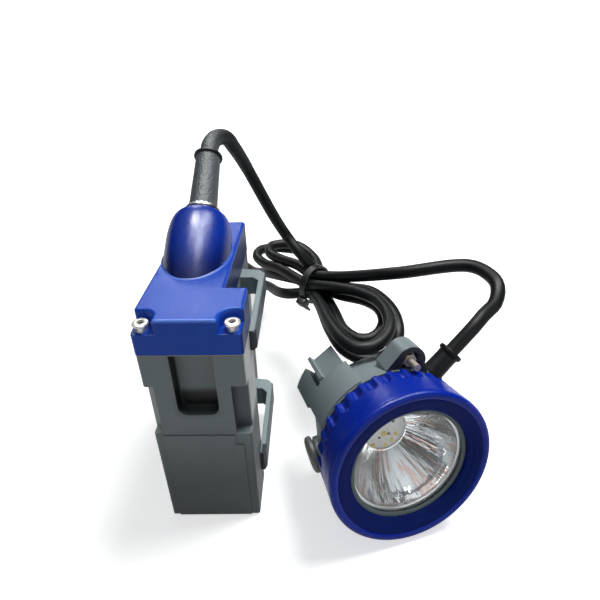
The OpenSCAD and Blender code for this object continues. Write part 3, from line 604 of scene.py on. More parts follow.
def board_material(name, mask, copper):
    """Solder resist with faint tracks and pads below it."""
    material, tree, shader, place = blank(name)
    grid = node(tree, "ShaderNodeTexBrick", {"Vector": place, "Color1": mask, "Color2": mask,
                                             "Mortar": copper, "Scale": 260.0, "Mortar Size": 0.035,
                                             "Mortar Smooth": 0.2}).outputs
    cloud = noise(tree, place, 240.0, 3.0)
    picked = ramp(tree, cloud, [(0.5, 0.0), (0.56, 1.0)])
    feed(tree, shader, {
        "Base Color": mixed(tree, picked, mask, grid["Color"]),
        "Roughness": spread(tree, cloud, 0.28, 0.42),
        "Normal": bumped(tree, grid["Fac"], 0.15, 0.00005)})
    return material


def led_material():
    """Yellow phosphor under clear resin."""
    material, tree, shader, place = blank("led_phosphor")
    cloud = noise(tree, place, 3000.0, 3.0)
    feed(tree, shader, {
        "Base Color": mixed(tree, cloud, colour(236, 206, 60), colour(250, 226, 110)),
        "Roughness": 0.3, "Coat Weight": 0.6})
    return material


def mirror_material():
    """Metallised bowl: bright, drawn into long streaks from the rim to the middle; the pink and grey streaks
    in its colour are painted reflections.
    """
    material, tree, shader, place = blank("mirror_chrome")
    local = lamp_space(tree, place)
    flat = node(tree, "ShaderNodeVectorMath", {0: local, 1: (1, 1, 0)}, operation="MULTIPLY")
    turned = node(tree, "ShaderNodeVectorMath", {0: flat.outputs[0]}, operation="NORMALIZE")
    depth = node(tree, "ShaderNodeVectorMath", {0: local, 1: (4, 4, 12)}, operation="MULTIPLY")
    ray = node(tree, "ShaderNodeVectorMath", {0: turned.outputs[0], 1: depth.outputs[0]}, operation="ADD")
    streak = noise(tree, ray.outputs[0], 2.7, 4.0, Roughness=0.5, Distortion=0.25)
    thin = noise(tree, ray.outputs[0], 15.0, 2.0)
    # pink and grey streaks in the colour: painted reflections
    painted_pink_reflection = ramp(tree, streak, [(0.54, 0.0), (0.57, 1.0), (0.61, 1.0), (0.63, 0.0)])
    dark = ramp(tree, streak, [(0.36, 1.0), (0.4, 0.0)])
    tone = mixed(tree, painted_pink_reflection, colour(246, 250, 250), colour(236, 208, 198))
    coarse = bumped(tree, streak, 0.5, 0.0022)
    feed(tree, shader, {
        "Base Color": mixed(tree, dark, tone, colour(150, 158, 164)),
        "Roughness": spread(tree, thin, 0.02, 0.06),
        "Normal": bumped(tree, thin, 0.16, 0.0003, coarse),
        "Metallic": 1.0})
    return material


def glass_material():
    """Clear lens with faint smears."""
    material, tree, shader, place = blank("clear_lens")
    smear = noise(tree, place, 60.0, 4.0)
    feed(tree, shader, {
        "Roughness": spread(tree, smear, 0.0, 0.03, 0.4, 0.75),
        "Base Color": (0.97, 0.985, 1.0, 1), "Transmission Weight": 1.0, "IOR": 1.46})
    return material


# ---------------------------------------------------------------- finishes

BLUE_TINT = (0.45, 0.62, 1.0)
OPEN = (None, None)
SIDE_FRONT = (None, -20.0)
RECESS_Y, RECESS_Z = (-43.4, -39.2), (51.4, 76.0)

# painted highlight along the front edge of the top, then painted shade on the right side of the narrow back
# and of the wide front
blue_lid = plastic(
    "blue_lid", colour(12, 70, 190), colour(24, 88, 200), (0.3, 0.4), 3200, 0.2, 0.4, 0.02,
    0.0, 0.45, 0.3, BLUE_TINT, [
        (((-11.0, 11.0), (None, -42.9), (104.9, None)), 0.35, colour(92, 132, 236)),
        (((10.3, None), (-20.0, None), (None, 104.8)), 0.3, colour(10, 34, 92)),
        (((19.2, None), SIDE_FRONT, (None, 104.8)), 0.3, colour(12, 44, 110))])
# lighter blue for the dome's fillet: a painted highlight along the round at the dome's foot
painted_highlight_blue = plastic("blue_fillet_painted_highlight", colour(62, 106, 214), colour(90, 132, 228), (0.3, 0.4), 3200, 0.1, 0.3,
                    0.01, 0.0, 0.5, 0.2)
# the dome below z 112 is darkened as painted shade
blue_dome = plastic("blue_dome", colour(6, 54, 172), colour(14, 66, 182), (0.23, 0.3), 3200, 0.16, 0.3,
                    0.01, 0.0, 0.4, 0.3, (0.9, 0.95, 1.0),
                    [((OPEN, OPEN, (None, 112.0)), 6.0, colour(2, 26, 96))])
blue_bezel = plastic("blue_bezel", colour(0, 42, 172), colour(6, 52, 182), (0.24, 0.32), 3600, 0.05, 0.3,
                     0.01, 0.0, 0.24, 0.3, (0.75, 0.85, 1.0))
blue_matte = plastic("blue_face_matte", colour(8, 30, 112), colour(20, 44, 124), (0.5, 0.6), 3000, 0.3,
                     0.3, 0.01, 0.0, 0.12, 0.2, BLUE_TINT)
# painted light and shade: the upper half lighter, the foot and left wall of the pocket darkened as painted
# shade, the left recess lightened as painted light, the right recess darkened as painted shade, and the
# right side painted lit above and shaded below
case_grey = grey_plastic(
    "case_grey", colour(78, 86, 88), colour(90, 98, 100), bump=0.14, zones=[
        ((OPEN, OPEN, (40.0, None)), 22.0, colour(130, 141, 143)),
        (((-8.3, 8.3), (-43.3, -34.0), (61.0, 70.0)), 2.2, colour(4, 5, 9)),
        (((-9.4, -7.4), (-43.3, -36.0), (61.0, None)), 0.6, colour(14, 16, 20)),
        (((None, -15.6), RECESS_Y, RECESS_Z), 0.4, colour(236, 242, 238)),
        (((13.4, 19.0), RECESS_Y, RECESS_Z), 0.4, colour(52, 64, 72)),
        (((19.3, None), SIDE_FRONT, (54.0, None)), 0.2, colour(206, 208, 204)),
        (((19.3, None), SIDE_FRONT, (None, 50.0)), 0.2, colour(70, 76, 80))])
# painted shade on the front ends, the right faces and the front edge
loop_grey = grey_plastic(
    "loop_grey", colour(144, 160, 162), colour(158, 170, 172), zones=[
        ((OPEN, (None, -27.5), OPEN), 0.5, colour(34, 46, 52)),
        (((21.6, None), OPEN, OPEN), 0.4, colour(70, 84, 90)),
        (((20.0, None), (None, -22.5), (None, 88.6)), 0.4, colour(34, 46, 52))])
LAMP_GREYS = (colour(138, 152, 154), colour(150, 163, 165))
lamp_grey = grey_plastic("lamp_grey", *LAMP_GREYS)
knob_grey = grey_plastic("knob_grey", colour(116, 122, 118), colour(132, 138, 134), (0.42, 0.52), 2600, 0.14)
# painted shade on the front face, and a brownish patch on the lug's top beside the stud, both seen from the
# headlamp
lug_grey = grey_plastic(
    "lug_grey", *LAMP_GREYS, zones=[
        ((OPEN, OPEN, (-22.1, None)), 0.3, colour(26, 30, 40)),
        (((6.1, 14.6), (30.8, 39.2), (-27.0, -21.9)), 0.15, colour(60, 48, 40))], seen_from=lamp_space)
black_plastic = plastic("black_plastic", colour(24, 25, 27), colour(40, 41, 43), (0.4, 0.5), 2400, 0.1, 0.2,
                        0.03)
nylon_black = plastic("tie_nylon", colour(14, 15, 17), colour(26, 28, 30), (0.32, 0.42), 1500, 0.06, 0.2,
                      0.02)
cell_green = plastic("cell_sleeve", colour(40, 120, 84), colour(80, 160, 120), (0.2, 0.3), 900, 0.05, 0.2,
                     0.0, 0.3)
lead_red = plastic("lead_red", colour(170, 34, 28), colour(200, 80, 70), (0.3, 0.4), 1200, 0.05, 0.1, 0.0)

gasket_beige = rubber("gasket_beige", colour(190, 180, 150), (0.7, 0.85), 900, 0.3, 0.02)
black_rubber = rubber("black_rubber", colour(10, 13, 15), (0.42, 0.52), 1800, 0.08, 0.02, 0.2)
cable_rubber = rubber("cable_sheath", colour(9, 12, 15), (0.42, 0.5), 1400, 0.05, 0.02, 0.22)
# grey relief rubber; the sleeve shares it, so the grey at the sleeve's root is a painted highlight over its
# bend, and past y 57 it darkens to the cable's black
relief_rubber = rubber("relief_rubber", colour(84, 92, 95), (0.44, 0.54), 1000, 0.8, 0.02, 0.35,
                       [((OPEN, (57.0, None), OPEN), 8.0, colour(10, 14, 18))])
seal_grey = rubber("seal_grey", colour(104, 120, 122), (0.5, 0.6), 1500, 0.1, 0.02, 0.4)
collar_rubber = rubber("collar_rubber", colour(20, 22, 24), (0.42, 0.52), 1500, 0.1, 0.03, 0.4)
foam_pale = rubber("foam_pale", colour(206, 202, 190), (0.8, 0.92), 700, 0.5, 0.1, 0.2)
seal_pale = rubber("seal_pale", colour(214, 214, 208), (0.5, 0.62), 1500, 0.1, 0.1)

steel = metal("stainless_steel", colour(226, 222, 214), 0.24, 0.1, 0.25)
screw_steel = metal("screw_steel", colour(232, 229, 222), 0.26, 0.1, 0.2, 0.55)
stud_steel = metal("stud_steel", colour(196, 186, 172), 0.42, 0.1, 0.15, 0.5)
rim_silver = metal("rim_silver", colour(250, 252, 250), 0.3, 0.05, 0.05, 0.8)
crimp_steel = metal("crimp_steel", colour(206, 208, 210), 0.28, 0.15, 0.2)
brass = metal("turned_brass", colour(196, 160, 92), 0.28)
nickel = metal("nickel_strip", colour(190, 186, 176), 0.32)
aluminium = metal("machined_aluminium", colour(196, 198, 200), 0.34)

board_green = board_material("board_green", colour(24, 92, 52), colour(60, 130, 80))
board_white = board_material("board_white", colour(246, 246, 242), colour(232, 234, 228))
led_yellow = led_material()
mirror = mirror_material()
clear_glass = glass_material()


def dress(piece, material, body="lamp_set", nodes=()):
    """Gives a piece its material and body, and hides the CAD nodes it stands for."""
    piece.data.materials.clear()
    piece.data.materials.append(material)
    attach(piece, body)
    if nodes:
        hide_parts(*nodes)
    return piece


# ---------------------------------------------------------------- cable

BOOT_A, BOOT_Z, BOOT_END = 42, -29.6, 46.8
boot_place = radial(BOOT_A, BOOT_Z)
boot_mouth = boot_place @ Vector((0, 0, BOOT_END))
boot_dir = (boot_place @ Vector((0, 0, 1)) - boot_place @ Vector((0, 0, 0))).normalized()

CABLE_D = 6.6
STRAND_GAP = CABLE_D + 0.2
TIE_AT = Vector((45, 76, 51))
TIE_TURN = math.radians(50)


def in_tie(angle, reach=STRAND_GAP):
    """A strand's place in the tie, six of them round a middle one."""
    a = math.radians(angle)
    return TIE_AT + reach * Vector((math.cos(a) * math.cos(TIE_TURN), math.cos(a) * math.sin(TIE_TURN),
                                    math.sin(a)))


# the cable's own points from the sleeve, through the tie seven times, to the headlamp
HANK = [
    (1, 69, 141), (4, 73, 135), (8, 78, 125), (21, 87, 92), (28, 91, 77), (36, 85, 68), in_tie(35),
    (64, 63, 56), (76, 55, 58), (83, 40, 60), (87, 29, 58), (87, 18, 55), (84, 12, 50),
    (78, 11, 45), (69, 12, 44), (60, 17, 46), (54, 31, 47), (49, 56, 46), in_tie(275),
    (48, 112, 42), (44, 131, 42), (37, 138, 43), (27, 138, 45), (16, 138, 46), (7, 133, 47),
    (5, 123, 47), (10, 113, 47), (23, 96, 51), in_tie(155),
    (57, 56, 60), (69, 46, 63), (77, 37, 64), (81, 22, 66), (81, 10, 66), (78, 2, 65),
    (72, -4, 64), (65, -4, 63), (59, 3, 62), (53, 20, 60), (47, 51, 54), in_tie(215),
    (27, 80, 42), (6, 141, 14), (-8, 158, 6), (-21, 166, 3.4), (-38, 169, 3.4), (-48, 184, 3.4),
    (-38, 199, 3.4), (-20, 195, 4), (-6, 173, 9), (15, 110, 40), in_tie(0, 0),
    (60, 58, 54), (73, 52, 54), (80, 44, 54), (82, 33, 53), (79, 25, 51), (74, 22, 49),
    (68, 23, 48), (61, 32, 47), (56, 51, 47), in_tie(335),
    (48, 97, 49), (44, 117, 49), (34, 128, 52), (23, 130, 53), (15, 126, 53), (15, 115, 53),
    (23, 104, 54), (34, 92, 56), in_tie(95),
    (57, 67, 61), (71, 55, 68), (90, 40, 78), (121, 30, 87), (128, 20, 87.5), (129.5, 11, 86),
    (127, 4.5, 81), (122, 2, 76.5)]
ROUTE = ([RELIEF_END, RELIEF_END + OUT * 7 + Vector((0.5, 0, 0)), RELIEF_END + Vector((2.5, 12.4, 5.7))]
         + HANK + [boot_mouth + boot_dir * 14, boot_mouth + boot_dir * 6, boot_mouth])
# the middle of the cable where it lies on the floor
LYING = CABLE_D / 2 + 0.05
route = [Vector((p.x, p.y, max(p.z, LYING))) for p in smooth_path(ROUTE, 2.5)]


def cable_piece():
    line = bpy.data.curves.new("cable_sheath", "CURVE")
    line.dimensions = "3D"
    spline = line.splines.new("POLY")
    spline.points.add(len(route) - 1)
    for target, p in zip(spline.points, route):
        target.co = (*(p * MM), 1)
    line.bevel_depth = CABLE_D / 2 * MM
    line.bevel_resolution = 5
    line.use_fill_caps = True
    line.twist_mode = "MINIMUM"
    return linked("cable_sheath", line)


cable = dress(cable_piece(), cable_rubber, nodes=("cable",))

SLEEVE_RUN, SLEEVE_WALL, SLEEVE_FIT = 44, 0.9, 0.06
RING_PITCH, RING_DEEP = 2.4, 0.07


def sleeve_piece():
    """Moulded sleeve that thins down to the cable, with shallow rings near its root."""
    fine = smooth_path(ROUTE[:8], 0.5)
    points, radii, run = [], [], 0.0
    for a, b in zip(fine, fine[1:]):
        share = run / SLEEVE_RUN
        if share > 1:
            break
        taper = max(0.0, 1 - max(0.0, share - 0.12) / 0.88) ** 1.2
        rings = RING_DEEP * max(0.0, math.sin(2 * math.pi * run / RING_PITCH)) * (1 - share) ** 2
        points.append(a)
        radii.append(CABLE_D / 2 + SLEEVE_FIT + SLEEVE_WALL * taper + rings)
        run += (b - a).length
    return swept("relief_sleeve_moulded", points, radii, 32)


def tie_piece():
    """Nylon tie: flat band, lock and tail with a rounded end."""
    inner, thick, width, lock_at = STRAND_GAP + CABLE_D / 2 + 0.9, 1.1, 4.6, math.radians(215)
    outer = inner + thick
    band = lathe("tie_band", [(inner, -width / 2), (outer - 0.25, -width / 2), (outer, 0.25 - width / 2),
                              (outer, width / 2 - 0.25), (outer - 0.25, width / 2), (inner, width / 2),
                              (inner, -width / 2)], 72)
    lock = block("tie_lock", (outer - 0.2, -3, -width / 2 - 0.7), (outer + 3.8, 3, width / 2 + 0.7))
    bevel(lock, 0.5, 3)
    tail = block("tie_tail", (outer + 1.4, 2, -width / 2), (outer + 2.5, 9, width / 2))
    edit(tail, "EDGE")
    round_edges(tail, lambda e: all(v.co.y > 8 for v in e.verts)
                and abs(e.verts[0].co.x - e.verts[1].co.x) > 0.5, 1.4, 4)
    bpy.ops.object.mode_set(mode="OBJECT")
    bevel(tail, 0.2, 2, 60)
    for part in (lock, tail):
        part.matrix_world = Matrix.Rotation(lock_at, 4, "Z") @ part.matrix_world
        settle(part)
    piece = join(band, lock, tail)
    place = (Matrix.Translation(TIE_AT) @ Matrix.Rotation(TIE_TURN, 4, "Z")
             @ Matrix.Rotation(math.radians(90), 4, "X"))
    return done(put(piece, place), 40)


sleeve = dress(sleeve_piece(), relief_rubber, nodes=("relief_sleeve",))
tie = dress(tie_piece(), nylon_black, nodes=("cable_tie",))

# ---------------------------------------------------------------- battery

dress(soften("battery_case", "case_shell", 0.45), case_grey, nodes=("battery_case",))
for which in ("upper", "lower"):
    loop = soften(f"belt_loop_{which}", f"loop_{which}", 0.7, 4, 25)
    dress(loop, loop_grey, nodes=(f"belt_loop_{which}",))

LID_LOW, LID_TOP, SCOOP_FLOOR = 91.0, 106.0, 100.0
LID_LEFT, LID_RIGHT, LID_FRONT, LID_BACK = -19.75, 19.75, -44, 44
# the inner corner where the wide front steps in to the narrow back
STEP_X, STEP_Y = 10.75, -21
CORNER_ROUND, TOP_ROUND, LEDGE_ROUND = 1.42, 1.3, 0.3
SCREW_X, SCREW_Y, SCOOP_R = 16.25, -40.9, 4.6


def corner_scoop(side):
    """Rounded inner corner of a screw scoop, from the front face to the side."""
    arc = [(side * (SCREW_X - SCOOP_R * math.cos(math.radians(a))),
            SCREW_Y + SCOOP_R * math.sin(math.radians(a))) for a in range(0, 91, 10)]
    return [(arc[0][0], LID_FRONT)] + arc + [(side * LID_RIGHT, arc[-1][1])]


def upright_corner(e):
    """An outer corner of the lid; the step's inner corner stays sharp."""
    a, b = (v.co for v in e.verts)
    at_step = abs(a.x - STEP_X) < 0.1 and abs(a.y - STEP_Y) < 0.1
    return abs(a.z - b.z) > 1 and e.calc_face_angle(0) > 1 and not at_step


def top_edge(e):
    return all(abs(v.co.z - LID_TOP) < 0.01 for v in e.verts)


def ledge_edge(e):
    """The rim of the floor that each scoop leaves."""
    return all(abs(v.co.z - SCOOP_FLOOR) < 0.01 and v.co.y < -30 and abs(v.co.x) > 10 for v in e.verts)


def lid_piece():
    """Full plan below the scoops, and above it the plan with both corners scooped out."""
    back = [(LID_RIGHT, STEP_Y), (STEP_X, STEP_Y), (STEP_X, LID_BACK), (LID_LEFT, LID_BACK)]
    lower = prism("lid_shell", [(LID_LEFT, LID_FRONT), (LID_RIGHT, LID_FRONT)] + back, LID_LOW, SCOOP_FLOOR)
    upper = prism("lid_upper", list(reversed(corner_scoop(-1))) + corner_scoop(1) + back,
                  SCOOP_FLOOR - 3, LID_TOP)
    for part, edges, width, segments in ((lower, ledge_edge, LEDGE_ROUND, 2),
                                         (upper, top_edge, TOP_ROUND, 6)):
        edit(part, "EDGE")
        round_edges(part, upright_corner, CORNER_ROUND, 6)
        round_edges(part, edges, width, segments)
        bpy.ops.object.mode_set(mode="OBJECT")
    combine(lower, upper, "UNION")
    return done(put(lower), 35, True)


DOME_SUNK = 1.6


def dome_piece():
    """The leaning dome on its skirt, cut off just under the lid's top."""
    profile = [(0, -46), (10.7, -46), (12.9, -36), (13.9, -28), (14.15, -22), (14.15, -15), (13.95, -11.2),
               (13.68, -8.6), (13.32, -6.4), (12.84, -4.6), (12.2, -3.0), (11.4, -1.7), (10.4, -0.7),
               (9.6, -0.25), (8.9, 0), (0, 0)]
    dome = lathe("lid_dome", profile, 96)
    dome.matrix_world = OUTLET
    settle(dome)
    skirt, wider_skirt = [rod(name, radius, LID_TOP - 1, LID_TOP + 15, (OUTLET_AT.x, OUTLET_AT.y - back), 64)
                          for name, radius, back in (("skirt", 8.9, 1), ("wider_skirt", 12.7, 9))]
    combine(skirt, wider_skirt, "UNION")
    edit(skirt)
    cut_off(OUTLET_AT, OUTLET.to_3x3() @ Vector((0, -1, 0)))
    cut_off(OUTLET_AT, OUT)
    bpy.ops.object.mode_set(mode="OBJECT")
    combine(dome, skirt, "UNION")
    edit(dome)
    cut_off((0, 0, LID_TOP - DOME_SUNK), (0, 0, -1))
    bpy.ops.object.mode_set(mode="OBJECT")
    return done(put(dome), 40, True)


def dome_foot(dome):
    """Points in order round the line where the dome leaves the lid's top."""
    cut = bmesh.new()
    cut.from_mesh(dome.data)
    made = bmesh.ops.bisect_plane(cut, geom=cut.verts[:] + cut.edges[:] + cut.faces[:], dist=1e-7,
                                  plane_co=(0, 0, LID_TOP * MM), plane_no=(0, 0, 1), clear_inner=True)
    rim = [e for e in made["geom_cut"] if isinstance(e, bmesh.types.BMEdge)]
    beside = {}
    for e in rim:
        for v in e.verts:
            beside.setdefault(v, []).append(e.other_vert(v))
    start = rim[0].verts[0]
    loop, last = [start], None
    while True:
        onward = [v for v in beside[loop[-1]] if v is not last and v is not loop[-1]]
        last = loop[-1]
        if not onward or onward[0] is start:
            break
        loop.append(onward[0])
    spots = [v.co.copy() for v in loop]
    cut.free()
    return spots


def evenly(spots, count):
    """The closed line through the spots, as evenly spaced points."""
    total = [0.0]
    for a, b in zip(spots, spots[1:] + spots[:1]):
        total.append(total[-1] + (b - a).length)
    even = []
    for k in range(count):
        run = total[-1] * k / count
        i = max(j for j in range(len(spots)) if total[j] <= run)
        share = (run - total[i]) / max(1e-9, total[i + 1] - total[i])
        even.append(spots[i].lerp(spots[(i + 1) % len(spots)], share))
    return even


FILLET_WIDTH, FILLET_STEPS, FILLET_SECTIONS = 0.85 * MM, 4, 120


def dome_fillet(dome):
    """The hollow round where the dome runs into the lid's top."""
    w, count = FILLET_WIDTH, FILLET_SECTIONS
    even = evenly(dome_foot(dome), count)
    middle = sum(even, Vector()) / count
    mesh = bmesh.new()
    rings = []
    axis = OUT.normalized()
    for k in range(count):
        along = (even[(k + 1) % count] - even[k - 1]).normalized()
        outward = Vector((along.y, -along.x, 0)).normalized()
        if outward.dot(even[k] - middle) < 0:
            outward.negate()
        centre = OUTLET_AT * MM + axis * (even[k] - OUTLET_AT * MM).dot(axis)
        face = (even[k] - centre).normalized()
        rise = face.cross(along).normalized()
        if rise.z < 0:
            rise.negate()
        ring = [even[k] - outward * 0.4 * w - Vector((0, 0, 0.4 * w))]
        for j in range(FILLET_STEPS + 1):
            u = j / FILLET_STEPS
            ring.append(even[k] + outward * w * (1 - u) ** 2 + rise * w * u ** 2)
        rings.append([mesh.verts.new(q) for q in ring])
    for k in range(count):
        a, b = rings[k], rings[(k + 1) % count]
        for j in range(len(a)):
            n = (j + 1) % len(a)
            mesh.faces.new((a[j], b[j], b[n], a[n]))
    return from_bmesh("dome_fillet", mesh, 60)


dress(lid_piece(), blue_lid, nodes=("battery_lid",))
lid_dome = dress(dome_piece(), blue_dome, nodes=("battery_lid",))
dress(dome_fillet(lid_dome), painted_highlight_blue, nodes=("battery_lid",))


SOCKET_R, SOCKET_FLOOR = 1.45, 102.5


def lid_screw(name):
    """Flanged screw with a six-sided socket."""
    screw = lathe(name, [(0, 88), (1.4, 88), (1.5, 88.4), (1.5, 99.9), (2.15, 100), (2.15, 102.0),
                         (2.3, 102.4), (2.75, 102.5), (2.9, 102.7), (2.9, 103.2), (2.8, 103.45),
                         (2.5, 103.6), (0, 103.6)], 64)
    combine(screw, rod("socket", SOCKET_R, SOCKET_FLOOR, LID_TOP + 1, (0, 0), 6))
    return bevel(screw, 0.08, 2, 40)


def seat_screw(screw, i, side):
    """Finishes a lid screw and puts a black disc at its socket's floor as painted shade."""
    dress(done(screw), screw_steel, nodes=("lid_screws",))
    # black disc in the socket: painted shade
    socket_shade_disc = rod(f"socket_shade_disc_{i}", SOCKET_R - 0.05, SOCKET_FLOOR - 0.05, SOCKET_FLOOR + 0.1,
                       (0, 0), 6)
    dress(put(socket_shade_disc, Matrix.Translation((side * SCREW_X, SCREW_Y, 0))), black_plastic,
          nodes=("lid_screws",))


left_screw = put(lid_screw("lid_screw_left"), Matrix.Translation((-SCREW_X, SCREW_Y, 0)))
seat_screw(left_screw, 0, -1)
seat_screw(copy_of(left_screw, "lid_screw_right", Matrix.Translation((2 * SCREW_X * MM, 0, 0))), 1, 1)

# ---------------------------------------------------------------- cable outlet

TEETH, TOOTH_DEEP = 24, 0.7

ring = lathe("outlet_ring_rubber", [(6.55, 0), (8.2, 0), (8.6, 0.35), (8.7, 1), (8.5, 1.6), (7.9, 2),
                                    (6.55, 2), (6.5, 1), (6.55, 0)], 72, OUTLET)
dress(ring, black_rubber, nodes=("outlet_ring",))


def crimp_piece():
    """Pressed ring with notches between the teeth on its outer edge."""
    def cut_tooth(v):
        if v.co.z > 2.5 and math.hypot(v.co.x, v.co.y) > 7:
            notch = 0.5 + 0.5 * math.cos(TEETH * math.atan2(v.co.y, v.co.x))
            v.co.z -= TOOTH_DEEP * (notch ** 2)

    piece = lathe("crimp_ring_toothed", [(6.55, 2), (7.5, 2), (7.7, 2.2), (7.7, 3.3), (7.45, 3.55),
                                         (6.55, 3.6), (6.5, 2.8), (6.55, 2)], 12 * TEETH)
    reshape(piece, cut_tooth)
    return done(put(piece, OUTLET), 30)


dress(crimp_piece(), crimp_steel, nodes=("crimp_ring",))
relief = lathe("relief_tube", [(3.4, -6), (6.4, -6), (6.4, 4), (6.34, 6), (6.18, 12), (6.0, 20), (5.85, 27),
                               (5.72, RELIEF_LEN + 0.2), (3.4, RELIEF_LEN + 0.2), (3.3, 10), (3.4, -6)],
               72, OUTLET)
dress(relief, relief_rubber, nodes=("cable_relief",))
collar = lathe("relief_collar", [(3.4, 32.8), (6.2, 32.8), (6.6, 32.95), (6.74, 33.3), (6.74, 33.75),
                                 (6.5, 34.05), (5.9, 34.2), (3.4, 34.2), (3.3, 33.5), (3.4, 32.8)],
               72, OUTLET)
dress(collar, collar_rubber, nodes=("cable_relief",))

# ---------------------------------------------------------------- headlamp

FLUTES, FLUTE_TURN = 32, 131.3
FLUTE_R, FLUTE_DEEP, FLUTE_END = 2.7, 1.35, -14.0
# the bezel's flank from its foot to its brow, and the radius that the flutes are spaced on
FLANK_R, FLANK_Z, FLANK_FLARE, FLANK_RISE, FLANK_STEPS = 34.25, -19.2, 1.05, 16.2, 36
FLUTE_RING_R, FLUTE_INNER_R, FLUTE_HIGHEST = 34.5, 32.6, -10


def carve_flute(v):
    """Draws a vertex in where one of the round-ended flutes passes."""
    r = math.hypot(v.co.x, v.co.y)
    if r < FLUTE_INNER_R or v.co.z > FLUTE_HIGHEST:
        return
    turn = (math.degrees(math.atan2(v.co.y, v.co.x)) - FLUTE_TURN) / (360 / FLUTES)
    off = abs(turn - round(turn)) * 360 / FLUTES * math.radians(1) * FLUTE_RING_R
    reach = off ** 2 + max(0.0, v.co.z - FLUTE_END) ** 2
    cut = max(0.0, math.sqrt(max(0.0, FLUTE_R ** 2 - reach)) - (FLUTE_R - FLUTE_DEEP))
    v.co.x *= 1 - cut / r
    v.co.y *= 1 - cut / r


def bezel_piece():
    """The bezel's rim; its flank has close rings where the flutes are, and fewer above."""
    profile = [(31.5, -20.2), (33.1, -20.2), (33.8, -20.1), (34.15, -19.8), (FLANK_R, FLANK_Z)]
    profile += [(FLANK_R + FLANK_FLARE * k / FLANK_STEPS, FLANK_Z + FLANK_RISE * k / FLANK_STEPS)
                for k in (*range(1, 26), 28, 32, 36)]
    profile += [(35.43, -1.8), (35.5, -0.9), (35.48, -0.1), (35.3, 0.6), (34.9, 1.15), (34.4, 1.42),
                (33.7, 1.5), (32.9, 1.4), (32.4, 1.2), (32.1, 0.9), (32.0, 0.0), (31.5, -1), (31.5, -20.2)]
    piece = lathe("bezel_rim", profile, 20 * FLUTES)
    reshape(piece, carve_flute)
    return done(put(piece, LAMP), 50)


dress(bezel_piece(), blue_bezel, nodes=("lamp_bezel",))
face = lathe("bezel_face_ring", [(31.5, -2.0), (32.05, 0.0), (32.1, 0.85), (31.8, 0.95), (31.4, 0.85),
                                 (30.5, 0.62), (29.0, 0.3), (28.7, 0.1), (28.5, -0.1), (27.4, -0.3),
                                 (26.8, -0.45), (26.3, -0.75), (25.9, -1.2), (25.8, -2.2), (30.8, -2.2),
                                 (31.5, -2.0)], 192, LAMP)
dress(face, blue_matte, nodes=("lamp_bezel",))
glass = lathe("lens_glass", [(0, -6), (29.9, -6), (30.35, -5.6), (30.35, -3.4), (29.9, -3.05), (0, -3.05)],
              128, LAMP)
dress(glass, clear_glass, nodes=("lens",))
seal = lathe("lens_seal_lip", [(30.3, -3.0), (30.3, -2.25), (26.0, -2.25), (24.9, -2.35), (24.3, -2.6),
                               (24.15, -2.8), (24.25, -3.0), (30.3, -3.0)], 192, LAMP)
dress(seal, seal_grey, nodes=("lens_seal",))


def reflector_piece():
    """Deep bowl with a rolled outer rim and a turned-back hole."""
    rim = [(28.8, -6.1), (25.6, -6.05), (25.0, -6.02), (24.4, -6.1), (24.1, -6.4), (24.15, -7.0)]
    bowl = [(24.3, -7.6), (23.9, -9.4), (23.1, -11.4), (22.0, -13.5), (20.6, -15.8), (18.9, -18.1),
            (17.0, -20.3), (14.9, -22.5), (12.6, -24.7), (10.6, -26.4), (9.9, -26.9), (9.8, -27.3)]
    back = [(10.2, -28.0), (10.9, -28.0), (13.4, -25.8), (15.8, -23.4), (18, -20.9), (19.9, -18.5),
            (21.5, -16.2), (22.8, -13.9), (23.9, -11.6), (24.8, -9.2), (25.6, -7.6), (28.6, -7.5)]
    return lathe("reflector_bowl", rim + bowl + back + rim[:1], 192, LAMP, 60)


dress(reflector_piece(), mirror, nodes=("reflector",))
bright_rim = lathe("reflector_rim", [(28.5, -6.03), (24.0, -6.06), (23.6, -6.3), (23.5, -6.9), (23.9, -7.3),
                                     (25.7, -7.2), (28.5, -6.9), (28.5, -6.03)], 192, LAMP)
dress(bright_rim, rim_silver, nodes=("reflector",))

CLIP_SLOT_A, CLIP_SLOT_W = 140.7, 2.4


def clip_piece():
    """The helmet clip with the slot beside its ridge cut deep."""
    clip = soften("helmet_clip", "clip_block", 0.35)
    slot_cut = block("slot_cut", (28, -CLIP_SLOT_W / 2, -62), (40, CLIP_SLOT_W / 2, -39.5))
    combine(clip, put(slot_cut, LAMP @ Matrix.Rotation(math.radians(CLIP_SLOT_A), 4, "Z")))
    return done(clip, SOFT_SHADE, True)


dress(soften("lamp_housing", "housing_shell", 0.4), lamp_grey, nodes=("lamp_housing",))
dress(clip_piece(), lamp_grey, nodes=("helmet_clip",))
dress(soften("charging_lug", "lug_body", 0.4), lug_grey, nodes=("charging_lug",))

boot = lathe("boot_moulded", [(3.35, 23.8), (4.7, 23.8), (4.7, 32.6), (5.35, 32.7), (5.5, 33.2), (5.4, 34.3),
                              (4.8, 34.6), (4.7, 38), (4.62, 42.4), (4.7, 44.3), (5.5, 44.7), (5.7, 45.2),
                              (5.7, 46.3), (5.4, 46.7), (4.9, BOOT_END), (3.35, BOOT_END), (3.3, 36),
                              (3.35, 23.8)], 64, boot_place)
dress(boot, black_rubber, nodes=("cable_boot",))

